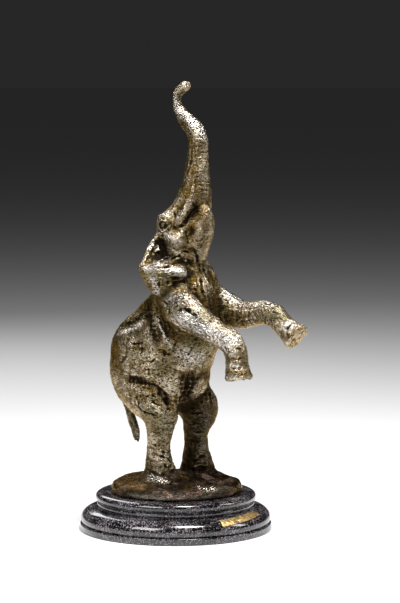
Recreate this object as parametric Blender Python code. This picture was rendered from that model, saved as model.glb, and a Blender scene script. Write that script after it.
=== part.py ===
"""Bronze elephant rearing on its hind legs with the trunk raised, on a turned marble plinth.

Sizes are in millimetres and become metres as each mesh is made. The elephant faces +X, its left
side is +Y, +Z is up, and the origin is the centre of the plinth's underside.
"""

import math

import bmesh
import bpy
import numpy as np

MM = 0.001
SEAT_GAP = 0.3

# Turned plinth, from the underside up: foot disc, ovolo, cove, fillet and upper disc.
PLINTH_SIDES = 44
FOOT_RADIUS = 95.8
FOOT_HEIGHT = 6.5
EDGE = 0.8
STEP_RADIUS = 92.6
STEP_HEIGHT = 0.6
OVOLO_RADIUS = 95.2
OVOLO_SWELL = 4.7
OVOLO_FALL = 10.6
OVOLO_TOP_RADIUS = 80.5
COVE_RADIUS = 77.0
COVE_HEIGHT = 2.4
FILLET_RADIUS = 78.8
FILLET_HEIGHT = 3.2
GROOVE_DEPTH = 1.6
GROOVE_HEIGHT = 0.6
DISC_RADIUS = 80.4
DISC_LIP = 2.2
DISC_SWELL = 3.2
DISC_WALL = 0.9
DISC_FALL = 4.2
DISC_TOP_RADIUS = 74.5
OVOLO_TOP = FOOT_HEIGHT + STEP_HEIGHT + OVOLO_SWELL + OVOLO_FALL
FILLET_TOP = OVOLO_TOP + COVE_HEIGHT + FILLET_HEIGHT
PLINTH_HEIGHT = FILLET_TOP + 2 * GROOVE_HEIGHT + DISC_SWELL + DISC_WALL + DISC_FALL

# Brass plaque bent over the ovolo.
PLAQUE_LENGTH = 60.0
PLAQUE_WIDTH = 8.2
PLAQUE_THICKNESS = 1.0
PLAQUE_BEARING = math.radians(-5.0)
PLAQUE_SKEW = math.radians(4.6)
PLAQUE_DOWN = 8.9

# The casting stands on the plinth. Its ground is a disc with a steep rim, a low dome and two pads.
SEAT = PLINTH_HEIGHT + SEAT_GAP
GROUND_LEDGE = 8.0
GROUND_RADIUS = DISC_TOP_RADIUS - GROUND_LEDGE
GROUND_RIM = 9.5
GROUND_DOME = 6.0
PAD_LENGTH = 24.0
PAD_WIDTH = 21.0
NEAR_PAD = (4.0, -26.0, 23.5)
FAR_PAD = (11.0, 26.0, 16.5)

# The animal is drawn 410 mm tall with heights above the seat, then brought to its own height.
DRAWN_HEIGHT = 410.0
FIGURE_HEIGHT = 410.0
SHARE = FIGURE_HEIGHT / DRAWN_HEIGHT
SECTION_SIDES = 28
VOXEL = 1.6
FILLET = 2.6
CASTING_TRIANGLES = 7600

# Each form is a row of stations: centre x, y, z, half width across, half depth in its plane.
# The body, thighs and hind legs are level sections; the rest are square to their centre line.
BODY = [
    (-12, 0, 78, 14, 14),
    (-16, 0, 85, 26, 28),
    (-18, 0, 93, 32, 40),
    (-19, 0, 105, 38, 52.5),
    (-19.5, 0, 120, 41, 55.5),
    (-18, 0, 130, 42, 57.5),
    (-15.5, 0, 142, 42, 59.5),
    (-12, 0, 153, 41.5, 60),
    (-6.5, 0, 166, 40, 55.5),
    (0, 0, 176.5, 38, 47.5),
    (7.5, 0, 187, 35, 38.5),
    (11, 0, 197, 32, 34),
    (12.5, 0, 208, 28, 30),
    (10.5, 0, 224, 24, 22.5),
    (8.5, 0, 242, 25.5, 22),
    (8, 0, 257, 27, 23.5),
    (9, 0, 271, 26, 24.5),
    (15, 0, 282, 22.5, 19.5),
    (20.5, 0, 292, 19.5, 15.5),
    (24, 0, 304, 15.5, 13),
    (26, 0, 314, 13, 11.5),
]
TRUNK = [
    (22, 0, 290, 18, 14),
    (25.3, 0, 303, 15.5, 13.6),
    (26.8, 0, 316, 13.5, 12.8),
    (27.6, 0, 329, 11.8, 11.8),
    (28.5, 0, 342, 10.2, 10),
    (28.2, 0, 353, 10.2, 10.4),
    (23.4, 0, 362, 9.8, 10),
    (15.5, 0, 369, 8.4, 8.2),
    (8, 0, 376, 6.6, 6.4),
    (2.6, 0, 384, 5.5, 5.4),
    (1.2, 0, 392.5, 5.2, 5.1),
    (6.2, 0, 399.3, 5.4, 5.2),
    (12.6, 0, 403.6, 6, 5.8),
    (17.2, 0, 405.4, 6.4, 5.6),
]
THIGH = [
    (-4, -17, 177, 15, 29),
    (-11, -20, 166, 18, 38),
    (-17, -21.5, 152, 20, 42),
    (-19.5, -22, 140, 21.5, 43.5),
    (-19.5, -22.5, 124, 22, 44),
    (-18.5, -23, 110, 21.5, 43),
    (-18.5, -24, 96, 20, 35),
    (-10, -25, 84, 18, 27),
    (-2, -26, 75, 15, 19),
]
NEAR_LEG = [
    (-13, -25, 98, 18, 28),
    (-6.5, -25.5, 88, 18.5, 26),
    (0.6, -26, 75, 16, 19),
    (1.2, -26, 64, 13.4, 14),
    (-1.2, -26, 52, 11.8, 11.8),
    (-1.4, -26, 41, 12.4, 12.6),
    (0, -26, 31, 14, 14.6),
    (1, -26, 21, 15.2, 16.6),
    (1, -26, 12, 15.2, 16.6),
]
FAR_LEG = [
    (-6, 24.5, 102, 18, 30),
    (4, 25, 92, 18.5, 26),
    (9.5, 26, 81, 17.5, 21),
    (8.8, 26, 68, 15, 17),
    (6.2, 26, 56, 12.6, 12.8),
    (5.8, 26, 44, 12.2, 12.4),
    (6.6, 26, 32, 14.2, 15.4),
    (8, 26, 21, 16, 18),
    (8.4, 26, 10, 16.4, 18.4),
]
NEAR_FORELEG = [
    (12, -22, 195, 16, 21),
    (27.5, -30, 189, 16.5, 20),
    (43, -34, 183, 15, 17.5),
    (62, -35, 174, 13, 14.2),
    (81, -34.5, 165.5, 11.6, 12),
    (92, -34, 161, 11.4, 12.2),
    (99, -34, 153.5, 11, 12.4),
    (101, -34, 144, 10.6, 11.4),
    (102, -34, 135, 11.2, 12),
    (103.4, -34, 127, 13, 14.4),
    (104, -34, 123, 13, 14.6),
]
FAR_FORELEG = [
    (14, 22, 195, 16, 21),
    (31, 30, 186.5, 16.5, 18.5),
    (48, 33.5, 179, 14.8, 16),
    (63, 34, 178, 13, 13.5),
    (77, 34, 180.5, 12.2, 12.6),
    (90, 34, 182, 11.8, 12.2),
    (99, 34, 177.5, 11.2, 12.2),
    (107.5, 34, 171.2, 10.6, 11),
    (115.5, 34, 165.2, 11.6, 12),
    (122, 34, 160, 13.6, 15.4),
    (124.5, 34, 158, 13.8, 16),
]
TAIL = [
    (-58, 0, 112, 8, 8),
    (-66, 0, 101, 7, 7),
    (-65.5, 0, 89, 5.2, 5.2),
    (-60.5, 0, 76, 4.2, 4.2),
    (-55, 0, 64, 3.6, 3.8),
    (-51, 0, 54, 3.2, 4.2),
    (-48.5, 0, 45.5, 1.6, 2.4),
]
JAW = [
    (14, 0, 224, 17, 14),
    (24, 0, 239, 16, 12),
    (32, 0, 254, 14, 10.5),
    (37.4, 0, 268, 11.5, 8),
    (39.8, 0, 279, 8.6, 5.6),
    (40.2, 0, 286.5, 5, 3.6),
]
TUSK = [
    (12, -17, 262, 5.5, 5.5),
    (18.5, -19.5, 271, 5.4, 5.6),
    (25, -19, 281, 4.2, 4.6),
    (30, -16.5, 291, 3.2, 3.6),
    (32.6, -14.2, 300, 1.8, 2.2),
]
CREST = [
    (8, -16, 208, 7, 7),
    (-5, -18, 198, 8, 7.5),
    (-17, -20, 186, 8, 7.5),
    (-29, -22, 174, 9, 8),
    (-42, -23, 159, 11, 10),
    (-48, -24, 142, 10, 9),
]
# Muscles on each side: name, centre, radii.
MUSCLES = [
    ("shoulder", (16, -25, 194), (22, 15, 19)),
    ("cheek", (14, -20, 250), (13, 9, 14)),
    ("brow", (4, -21, 271), (10, 7, 9)),
]
# Rows of the ear from the head to its edge, each from the crown forward to the jaw: x, y, z.
EAR_ROWS = [
    [(-6, -17, 262), (-2, -21, 247), (8, -23, 234), (26, -18, 228)],
    [(-6, -34, 251), (-3, -33, 239), (8, -33, 231), (28, -22, 226)],
    [(-6, -47, 234), (2, -47, 231), (14, -42, 229), (31, -24, 225)],
    [(-5, -51, 226), (4, -51, 220), (16, -43, 222), (33, -24, 221)],
    [(-1, -49, 214), (7, -48, 208), (18, -41, 213), (33, -24, 217)],
    [(6, -47, 205), (13, -46, 200), (22, -38, 208), (32, -23, 214)],
]
EAR_THICKNESS = 5.0
FAR_EAR_SHIFT = (-3.0, 0.0, -7.0)
# Folds of the near side, mirrored on the far one: name, points x, z, depth, half width.
# A negative depth raises a ridge.
FOLDS = [
    ("above the knee", [(-26, 114), (-8, 116), (5, 113), (12, 106), (15, 96), (17, 87)], 2.8, 3.6),
    ("groin", [(28, 122), (25, 114), (22, 105)], 2.5, 4.0),
    ("behind the shoulder", [(3, 196), (5, 183), (11, 171), (18, 160)], 2.5, 4.0),
    ("hip", [(-32, 168), (-18, 160), (-12, 144)], 2.0, 7.0),
    ("rump", [(-54, 140), (-42, 133), (-34, 120)], 2.0, 7.0),
    ("belly", [(20, 168), (26, 154), (25, 138)], 1.8, 6.0),
    ("kneecap", [(-2, 94), (4, 101), (12, 98), (12, 89), (3, 86), (-2, 94)], -1.2, 3.0),
    ("mouth", [(46, 292), (38, 288), (31, 280), (25, 272), (18, 267)], 4.5, 2.6),
    ("cheek", [(9, 256), (18, 253), (23, 260)], -1.6, 3.4),
    ("temple", [(12, 268), (15, 278), (20, 286)], 2.0, 3.6),
    ("ear ridge", [(-7, 228), (7, 227), (16, 233), (22, 240)], -2.4, 3.0),
    ("ear shelf", [(8, 226), (20, 226), (31, 224)], -1.8, 3.0),
    ("ear slit", [(15, 229), (21, 230), (28, 231)], 3.2, 2.4),
    ("ear hollow", [(3, 233), (5, 243), (0, 251)], 3.0, 4.4),
    ("throat", [(31, 243), (35, 233), (39, 222), (42, 208)], 2.2, 3.0),
]


def clear_scene():
    """Start from an empty scene."""
    for item in list(bpy.data.objects):
        bpy.data.objects.remove(item, do_unlink=True)


def material(name, colour, metallic, roughness):
    """One Principled material per piece."""
    made = bpy.data.materials.new(name)
    made.use_nodes = True
    shader = made.node_tree.nodes["Principled BSDF"]
    shader.inputs["Base Color"].default_value = (*colour, 1.0)
    shader.inputs["Metallic"].default_value = metallic
    shader.inputs["Roughness"].default_value = roughness
    return made


def add_object(name, points, faces):
    """Link a mesh given in millimetres, with its faces turned outwards."""
    mesh = bpy.data.meshes.new(name)
    mesh.from_pydata([tuple(MM * c for c in p) for p in points], [], faces)
    shape = bmesh.new()
    shape.from_mesh(mesh)
    bmesh.ops.recalc_face_normals(shape, faces=shape.faces)
    shape.to_mesh(mesh)
    shape.free()
    made = bpy.data.objects.new(name, mesh)
    bpy.context.scene.collection.objects.link(made)
    return made


def smooth_rows(rows, steps):
    """Catmull-Rom curve through the rows of numbers, with so many steps to each span."""
    rows = np.array(rows, float)
    padded = np.vstack([2 * rows[0] - rows[1], rows, 2 * rows[-1] - rows[-2]])
    out = []
    for k in range(len(rows) - 1):
        a, b, c, d = padded[k : k + 4]
        for t in np.arange(steps) / steps:
            out.append(
                0.5
                * (2 * b + (c - a) * t + (2 * a - 5 * b + 4 * c - d) * t**2 + (3 * b - a - 3 * c + d) * t**3)
            )
    out.append(rows[-1])
    return np.array(out)


def loft(name, rings):
    """Close a stack of equal rings into one skin with a cap at each end."""
    sides = len(rings[0])
    points = np.vstack(rings)
    faces = []
    for r in range(len(rings) - 1):
        for s in range(sides):
            t = (s + 1) % sides
            faces.append((r * sides + s, r * sides + t, (r + 1) * sides + t, (r + 1) * sides + s))
    faces.append(tuple(range(sides)))
    faces.append(tuple(range((len(rings) - 1) * sides, len(rings) * sides)))
    return add_object(name, points, faces)


def limb(name, stations, side=1, level=False):
    """Sweep ellipses along a smooth centre line; side -1 mirrors it across the middle."""
    rows = smooth_rows(stations, 3) * SHARE
    centres = rows[:, :3] * (1, side, 1) + (0, 0, SEAT)
    forward = np.full_like(centres, (0, 0, 1)) if level else np.gradient(centres, axis=0)
    forward /= np.linalg.norm(forward, axis=1)[:, None]
    angle = np.linspace(0, 2 * math.pi, SECTION_SIDES, endpoint=False)
    rings = []
    for centre, ahead, (across, deep) in zip(centres, forward, rows[:, 3:]):
        wide = np.array((0.0, 1.0, 0.0)) - ahead[1] * ahead
        wide /= np.linalg.norm(wide)
        up = np.cross(ahead, wide)
        rings.append(
            centre + across * np.outer(np.cos(angle), wide) + deep * np.outer(np.sin(angle), up)
        )
    return loft(name, rings)


def ear(name, side, shift):
    """Ear flap: a smooth sheet through its rows, given a thickness."""
    rows = [smooth_rows(row, 6) for row in EAR_ROWS]
    across = np.array([smooth_rows([row[k] for row in rows], 4) for k in range(len(rows[0]))])
    wide, deep = across.shape[:2]
    points = (across.reshape(-1, 3) * (1, side, 1) + shift) * SHARE + (0, 0, SEAT)
    faces = []
    for i in range(wide - 1):
        for j in range(deep - 1):
            a = i * deep + j
            faces.append((a, a + 1, a + deep + 1, a + deep))
    flap = add_object(name, points, faces)
    solid = flap.modifiers.new("thickness", "SOLIDIFY")
    solid.thickness = EAR_THICKNESS * SHARE * MM
    solid.offset = 0
    return flap


def ball(name, centre, radii):
    """Ellipsoid for a muscle."""
    shape = bmesh.new()
    bmesh.ops.create_uvsphere(shape, u_segments=24, v_segments=14, radius=1.0)
    points = np.array([v.co for v in shape.verts]) * radii + centre
    faces = [tuple(v.index for v in f.verts) for f in shape.faces]
    shape.free()
    return add_object(name, points * SHARE + (0, 0, SEAT), faces)


def ground_edge(bearing):
    """Radius of the ground's edge, which wanders a little."""
    return GROUND_RADIUS * (1 + 0.016 * np.sin(3 * bearing + 0.6) + 0.012 * np.sin(7 * bearing + 2.1))


def ground_height(x, y):
    """Height of the ground above the plinth: a steep rim, a low dome, rocks and a pad under each foot."""
    inward = np.clip(1 - np.hypot(x, y) / ground_edge(np.arctan2(y, x)), 0, 1)
    height = GROUND_RIM * np.clip(inward / 0.05, 0, 1) ** 0.45 + GROUND_DOME * inward**0.6
    rocks = (
        1.5 * np.sin(0.11 * x + 0.5) * np.sin(0.13 * y + 1.0)
        + 1.0 * np.sin(0.21 * x - 0.17 * y)
        + 0.7 * np.sin(0.31 * x + 0.27 * y + 2.0)
    )
    height = height + rocks * np.clip(inward / 0.15, 0, 1)
    for pad_x, pad_y, top in (NEAR_PAD, FAR_PAD):
        along = (x - pad_x * SHARE) / (PAD_LENGTH * SHARE)
        across = (y - pad_y * SHARE) / (PAD_WIDTH * SHARE)
        height += np.exp(-(along**4) - across**4) * np.maximum(top * SHARE - height, 0)
    return height


def ground():
    """The rocky ground as a disc whose top follows ground_height."""
    sides, rings = 72, 26
    bearing = np.linspace(0, 2 * math.pi, sides, endpoint=False)
    edge = ground_edge(bearing)
    stack = [np.column_stack([edge * np.cos(bearing), edge * np.sin(bearing), np.full(sides, SEAT)])]
    for k in range(rings, 0, -1):
        r = edge * (1 - (1 - k / rings) ** 1.4)
        x, y = r * np.cos(bearing), r * np.sin(bearing)
        stack.append(np.column_stack([x, y, SEAT + np.maximum(ground_height(x, y), 0.4)]))
    return loft("ground", stack)


def join(pieces):
    """Merge pieces, with their modifiers used, into the first one's object."""
    shape = bmesh.new()
    graph = bpy.context.evaluated_depsgraph_get()
    for piece in pieces:
        shape.from_object(piece, graph)
    name = pieces[0].name
    for piece in pieces:
        bpy.data.objects.remove(piece, do_unlink=True)
    mesh = bpy.data.meshes.new(name)
    shape.to_mesh(mesh)
    shape.free()
    made = bpy.data.objects.new(name, mesh)
    bpy.context.scene.collection.objects.link(made)
    return made


def use_modifiers(made):
    """Replace an object's mesh by the one its modifiers give."""
    graph = bpy.context.evaluated_depsgraph_get()
    mesh = bpy.data.meshes.new_from_object(made.evaluated_get(graph))
    made.modifiers.clear()
    made.data = mesh


def remesh(made, size):
    """Even skin round everything the object holds."""
    step = made.modifiers.new("skin", "REMESH")
    step.mode = "VOXEL"
    step.voxel_size = size * MM
    use_modifiers(made)


def swell(made, amount):
    """Move the skin along its normals."""
    step = made.modifiers.new("swell", "DISPLACE")
    step.direction = "NORMAL"
    step.mid_level = 0.0
    step.strength = amount * MM
    use_modifiers(made)


def relax(made, factor, times):
    """Even out the skin."""
    step = made.modifiers.new("relax", "SMOOTH")
    step.factor = factor
    step.iterations = times
    use_modifiers(made)


def vertex_arrays(made):
    """Places, in millimetres, and normals of an object's vertices."""
    count = len(made.data.vertices)
    place = np.empty(3 * count)
    normal = np.empty(3 * count)
    made.data.vertices.foreach_get("co", place)
    made.data.vertex_normals.foreach_get("vector", normal)
    return place.reshape(-1, 3) / MM, normal.reshape(-1, 3)


def line_distance(place, line):
    """Distance of every place to a polyline in the same axes."""
    best = np.full(len(place), np.inf)
    for a, b in zip(line[:-1], line[1:]):
        span = b - a
        along = np.clip((place - a) @ span / (span @ span), 0, 1)
        best = np.minimum(best, np.linalg.norm(place - a - along[:, None] * span, axis=1))
    return best


def press_folds(made):
    """Press the folds into both sides of the skin."""
    place, normal = vertex_arrays(made)
    drawn = (place - (0, 0, SEAT)) / SHARE
    outward = np.clip(np.abs(normal[:, 1]) * 1.5, 0, 1) * (np.abs(drawn[:, 1]) > 8)
    push = np.zeros(len(place))
    for _, line, depth, width in FOLDS:
        away = line_distance(drawn[:, [0, 2]], smooth_rows(line, 4))
        push += depth * np.exp(-((away / width) ** 2)) * outward
    place -= SHARE * push[:, None] * normal
    made.data.vertices.foreach_set("co", (place * MM).ravel())
    made.data.update()


def reduce(made, triangles):
    """Thin the skin to a number of triangles."""
    made.data.calc_loop_triangles()
    step = made.modifiers.new("reduce", "DECIMATE")
    step.ratio = triangles / len(made.data.loop_triangles)
    step.use_collapse_triangulate = True
    use_modifiers(made)


def shade(made, smooth_degrees, look):
    """Give a piece its material and smooth its shading up to an angle."""
    made.data.materials.clear()
    made.data.materials.append(look)
    made.data.polygons.foreach_set("use_smooth", [True] * len(made.data.polygons))
    made.data.set_sharp_from_angle(angle=math.radians(smooth_degrees))


def elephant(look):
    """The casting: every form of the animal and its ground run together into one skin."""
    pieces = [limb("bronze_elephant", BODY, level=True), ground()]
    pieces.append(limb("trunk", TRUNK))
    pieces.append(limb("jaw", JAW))
    pieces.append(limb("tail", TAIL))
    for side in (1, -1):
        pieces.append(limb("thigh", THIGH, side, level=True))
        pieces.append(limb("tusk", TUSK, side))
        pieces.append(limb("crest", CREST, side))
        pieces.append(ear("ear", side, (0, 0, 0) if side > 0 else FAR_EAR_SHIFT))
        for name, (x, y, z), radii in MUSCLES:
            pieces.append(ball(name, (x, y * side, z), radii))
    pieces.append(limb("near_leg", NEAR_LEG, level=True))
    pieces.append(limb("far_leg", FAR_LEG, level=True))
    pieces.append(limb("near_foreleg", NEAR_FORELEG))
    pieces.append(limb("far_foreleg", FAR_FORELEG))
    made = join(pieces)
    remesh(made, VOXEL)
    swell(made, FILLET)
    remesh(made, VOXEL)
    swell(made, -FILLET)
    relax(made, 0.5, 4)
    press_folds(made)
    remesh(made, VOXEL)
    reduce(made, CASTING_TRIANGLES)
    flatten_seat(made)
    shade(made, 80, look)
    return made


def flatten_seat(made):
    """Bring the skin's lowest layer level with the seat."""
    place, _ = vertex_arrays(made)
    place[:, 2] = np.where(place[:, 2] < SEAT + 0.5 * VOXEL, SEAT, place[:, 2])
    made.data.vertices.foreach_set("co", (place * MM).ravel())


def arc(r0, z0, r1, z1, steps, upright_first):
    """Quarter of an ellipse from one profile point to another."""
    turn = [0.5 * math.pi * k / steps for k in range(steps + 1)]
    if upright_first:
        return [(r0 + (r1 - r0) * (1 - math.cos(t)), z0 + (z1 - z0) * math.sin(t)) for t in turn]
    return [(r0 + (r1 - r0) * math.sin(t), z0 + (z1 - z0) * (1 - math.cos(t))) for t in turn]


def ovolo():
    """Curved side of the lower disc, from its foot to its top edge."""
    low = FOOT_HEIGHT + STEP_HEIGHT
    widest = low + OVOLO_SWELL
    lower = arc(STEP_RADIUS, low, OVOLO_RADIUS, widest, 2, False)
    upper = arc(OVOLO_RADIUS, widest, OVOLO_TOP_RADIUS, OVOLO_TOP, 5, True)
    return lower + upper[1:]


def plinth_profile():
    """Radius and height round the turned plinth, from its underside to its top."""
    foot = [(FOOT_RADIUS - EDGE, 0.0), (FOOT_RADIUS, EDGE)]
    foot += [(FOOT_RADIUS, FOOT_HEIGHT - EDGE), (FOOT_RADIUS - EDGE, FOOT_HEIGHT)]
    cove_top = OVOLO_TOP + COVE_HEIGHT
    neck = [(COVE_RADIUS, OVOLO_TOP + 0.2 * COVE_HEIGHT), (COVE_RADIUS, cove_top - 0.3 * COVE_HEIGHT)]
    neck += [(FILLET_RADIUS, cove_top), (FILLET_RADIUS, FILLET_TOP - GROOVE_HEIGHT)]
    neck += [(FILLET_RADIUS - GROOVE_DEPTH, FILLET_TOP)]
    low = FILLET_TOP + 2 * GROOVE_HEIGHT
    wall = low + DISC_SWELL
    disc = arc(DISC_RADIUS - DISC_LIP, low, DISC_RADIUS, wall, 2, False)
    disc += arc(DISC_RADIUS, wall + DISC_WALL, DISC_TOP_RADIUS, PLINTH_HEIGHT, 3, True)
    return foot + ovolo() + neck + disc


def plinth(look):
    """The plinth as its profile turned about the upright axis."""
    angle = np.linspace(0, 2 * math.pi, PLINTH_SIDES, endpoint=False)
    rings = [
        np.column_stack([r * np.cos(angle), r * np.sin(angle), np.full(PLINTH_SIDES, z)])
        for r, z in plinth_profile()
    ]
    made = loft("marble_plinth", rings)
    shade(made, 35, look)
    return made


def down_profile(profile, distance):
    """Point and outward direction at a distance down from the top of a profile."""
    points = np.array(profile)[::-1]
    spans = np.linalg.norm(np.diff(points, axis=0), axis=1)
    reach = np.concatenate([[0], np.cumsum(spans)])
    place, above, below = (
        np.array([np.interp(distance + step, reach, points[:, k]) for k in (0, 1)])
        for step in (0.0, -0.8, 0.8)
    )
    tangent = above - below
    outward = np.array((tangent[1], -tangent[0])) / np.linalg.norm(tangent)
    return place, outward


def plaque(look):
    """Thin strip laid on the ovolo, a little askew."""
    columns, rows = 12, 3
    grid = []
    for lift in (SEAT_GAP, SEAT_GAP + PLAQUE_THICKNESS):
        for i in range(columns + 1):
            along = PLAQUE_LENGTH * (i / columns - 0.5)
            bearing = PLAQUE_BEARING + along / OVOLO_RADIUS
            for j in range(rows + 1):
                up = PLAQUE_WIDTH * (j / rows - 0.5) + along * math.tan(PLAQUE_SKEW)
                place, outward = down_profile(ovolo(), PLAQUE_DOWN - up)
                r, z = place + lift * outward
                grid.append((r * math.cos(bearing), r * math.sin(bearing), z))
    layer = (columns + 1) * (rows + 1)
    faces = []
    for i in range(columns):
        for j in range(rows):
            a = i * (rows + 1) + j
            b = a + rows + 1
            faces.append((a, a + 1, b + 1, b))
            faces.append((layer + a, layer + b, layer + b + 1, layer + a + 1))
    low = [i * (rows + 1) for i in range(columns + 1)]
    rim = low + [low[-1] + j for j in range(1, rows + 1)]
    rim += [k + rows for k in reversed(low[:-1])] + list(range(rows - 1, 0, -1))
    for a, b in zip(rim, rim[1:] + rim[:1]):
        faces.append((a, b, layer + b, layer + a))
    made = add_object("brass_plaque", grid, faces)
    shade(made, 40, look)
    return made


clear_scene()
elephant(material("bronze", (0.10, 0.075, 0.05), 0.9, 0.45))
plinth(material("marble", (0.02, 0.02, 0.022), 0.0, 0.2))
plaque(material("brass", (0.55, 0.38, 0.14), 1.0, 0.35))
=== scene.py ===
# %% [markdown]
# # A rearing bronze elephant on a turned marble plinth
#
# The real object is a small studio bronze about 45 cm tall. One casting holds the animal and the
# rough ground under its hind feet. It stands on a round plinth of black speckled marble with two
# polished steps, and a thin brass strip is bent over the lower step. The packed CAD model is loaded
# as a fixed frame, and each piece below is a finer skin for one of its three nodes.

# %% Frame
import math

import bmesh
import bpy
import numpy as np
from mathutils import Matrix, Vector
from mathutils.bvhtree import BVHTree


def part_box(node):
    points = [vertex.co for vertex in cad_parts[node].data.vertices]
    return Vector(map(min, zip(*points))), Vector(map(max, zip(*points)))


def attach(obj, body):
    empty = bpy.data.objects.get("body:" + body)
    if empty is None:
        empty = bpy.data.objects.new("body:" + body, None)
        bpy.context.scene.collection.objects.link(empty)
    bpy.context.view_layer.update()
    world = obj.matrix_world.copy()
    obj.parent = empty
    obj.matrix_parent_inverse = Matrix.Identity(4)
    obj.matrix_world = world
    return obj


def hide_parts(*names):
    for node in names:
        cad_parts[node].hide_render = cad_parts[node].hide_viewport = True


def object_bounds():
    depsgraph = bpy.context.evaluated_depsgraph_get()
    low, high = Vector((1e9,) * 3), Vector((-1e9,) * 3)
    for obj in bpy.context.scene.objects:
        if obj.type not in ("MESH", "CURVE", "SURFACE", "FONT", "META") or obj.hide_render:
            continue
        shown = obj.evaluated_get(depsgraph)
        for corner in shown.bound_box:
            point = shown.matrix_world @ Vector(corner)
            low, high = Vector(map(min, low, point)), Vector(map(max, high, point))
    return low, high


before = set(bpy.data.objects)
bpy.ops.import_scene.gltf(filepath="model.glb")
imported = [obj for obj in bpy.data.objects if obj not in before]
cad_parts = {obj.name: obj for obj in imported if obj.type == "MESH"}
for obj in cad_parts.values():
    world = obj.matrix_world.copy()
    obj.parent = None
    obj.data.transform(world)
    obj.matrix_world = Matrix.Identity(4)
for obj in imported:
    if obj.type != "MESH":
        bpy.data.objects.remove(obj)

cad_low, cad_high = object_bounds()
MM = 0.001
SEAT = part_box("bronze_elephant")[0].z / MM
print("CAD box in mm", [round(c / MM, 1) for c in cad_high - cad_low], "seat at", round(SEAT, 1))

# %% [markdown]
# ## Node trees as Python expressions
#
# A material or a Geometry Nodes tree could be clicked together, or written as long lists of nodes and
# links. Arithmetic reads better as arithmetic, so a small class wraps a socket and turns each operator
# into a Math node, and one method adds every other kind of node. The kinds used most have a short name
# that calls it.

# %% Wires
class Wire:
    """A node's output that can stand in a Python expression."""

    def __init__(self, tree, socket):
        self.tree = tree
        self.socket = socket

    def math(self, operation, *others):
        values = dict(enumerate((self, *others)))
        return self.tree.add("ShaderNodeMath", {"operation": operation}, values)

    def flipped(self, operation, other):
        return self.tree.add("ShaderNodeMath", {"operation": operation}, {0: other, 1: self})

    def __add__(self, other):
        return self.math("ADD", other)

    def __sub__(self, other):
        return self.math("SUBTRACT", other)

    def __mul__(self, other):
        return self.math("MULTIPLY", other)

    def __truediv__(self, other):
        return self.math("DIVIDE", other)

    def __radd__(self, other):
        return self.flipped("ADD", other)

    def __rsub__(self, other):
        return self.flipped("SUBTRACT", other)

    def __rmul__(self, other):
        return self.flipped("MULTIPLY", other)

    def out(self, name):
        """Another output of the same node."""
        return Wire(self.tree, self.socket.node.outputs[name])

    def ramp(self, low, high):
        """0 below low, 1 above high, and a soft slope between them."""
        values = {"Value": self, "From Min": low, "From Max": high}
        return self.tree.add("ShaderNodeMapRange", {"interpolation_type": "SMOOTHSTEP"}, values)


print("operators ready:", [name for name in vars(Wire) if name.startswith("__r")])

# %% Trees
class Tree:
    """A shader or geometry tree that nodes are added to."""

    def __init__(self, tree):
        self.tree = tree

    def add(self, kind, settings=None, values=None, out=0):
        """Add a node: its settings first, then the values or links of its sockets."""
        node = self.tree.nodes.new(kind)
        settings = dict(settings or {})
        stops = settings.pop("stops", None)
        for name, value in settings.items():
            setattr(node, name, value)
        if stops:
            while len(node.color_ramp.elements) < len(stops):
                node.color_ramp.elements.new(0.5)
            for element, (place, colour) in zip(node.color_ramp.elements, stops):
                element.position = place
                element.color = (*colour, 1.0)
        for key, value in (values or {}).items():
            if isinstance(value, Wire):
                self.tree.links.new(value.socket, node.inputs[key])
            else:
                node.inputs[key].default_value = value
        return Wire(self, node.outputs[out]) if node.outputs else node

    def noise(self, where, scale, detail, out=0):
        """Noise: output 0 is its value and output 1 its colour."""
        values = {"Vector": where, "Scale": scale, "Detail": detail}
        return self.add("ShaderNodeTexNoise", None, values, out)

    def cells(self, where, scale, out):
        """Voronoi cells: the Distance to the nearest one's point, or that cell's own Color."""
        values = {"Vector": where, "Scale": scale}
        return self.add("ShaderNodeTexVoronoi", {"feature": "F1"}, values, out)

    def vector(self, operation, *vectors, out=0):
        """Vector Math node on one or more vectors."""
        return self.add("ShaderNodeVectorMath", {"operation": operation}, dict(enumerate(vectors)), out)

    def scaled(self, vector, factor):
        """A vector times a number."""
        return self.add("ShaderNodeVectorMath", {"operation": "SCALE"}, {0: vector, "Scale": factor})

    def joined(self, x=0.0, y=0.0, z=0.0):
        """Vector made of three numbers."""
        return self.add("ShaderNodeCombineXYZ", None, {"X": x, "Y": y, "Z": z})

    def parts(self, vector, out="X"):
        """One part of a vector. The others are outputs of the same node."""
        return self.add("ShaderNodeSeparateXYZ", None, {0: vector}, out)

    def tones(self, colour, out=0):
        """One channel of a colour. The others are outputs of the same node."""
        return self.add("ShaderNodeSeparateColor", None, {0: colour}, out)

    def mixed(self, share, low, high):
        """Colour between two colours, each a wire or three numbers, by a share."""
        settings = {"data_type": "RGBA", "blend_type": "MIX"}
        low, high = (end if isinstance(end, Wire) else (*end, 1.0) for end in (low, high))
        return self.add("ShaderNodeMix", settings, {0: share, 6: low, 7: high}, 2)

    def attribute(self, name):
        """Number kept on the vertices, read in a material."""
        return self.add("ShaderNodeAttribute", {"attribute_name": name}, None, "Fac")

    def keep(self, shape, name, value):
        """Keep a number on the vertices, in a geometry tree."""
        settings = {"data_type": "FLOAT", "domain": "POINT"}
        values = {"Geometry": shape, "Name": name, "Value": value}
        return self.add("GeometryNodeStoreNamedAttribute", settings, values)

    def bump(self, height, distance, strength=1.0, **under):
        """Normal of a height field, laid over another Normal where one is given."""
        values = {"Strength": strength, "Distance": distance, "Height": height, **under}
        return self.add("ShaderNodeBump", None, values)


print("short names for nodes:", [name for name in vars(Tree) if not name.startswith("__")])

# %% [markdown]
# ## Sizes for Geometry Nodes
#
# A tree is most use when its sizes are named inputs, as a tool has its settings. The helper makes
# such a tree, and another one runs it on a mesh: it sets each input by its socket's identifier
# before the first evaluation, keeps the result as a plain mesh and takes the modifier away.

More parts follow.
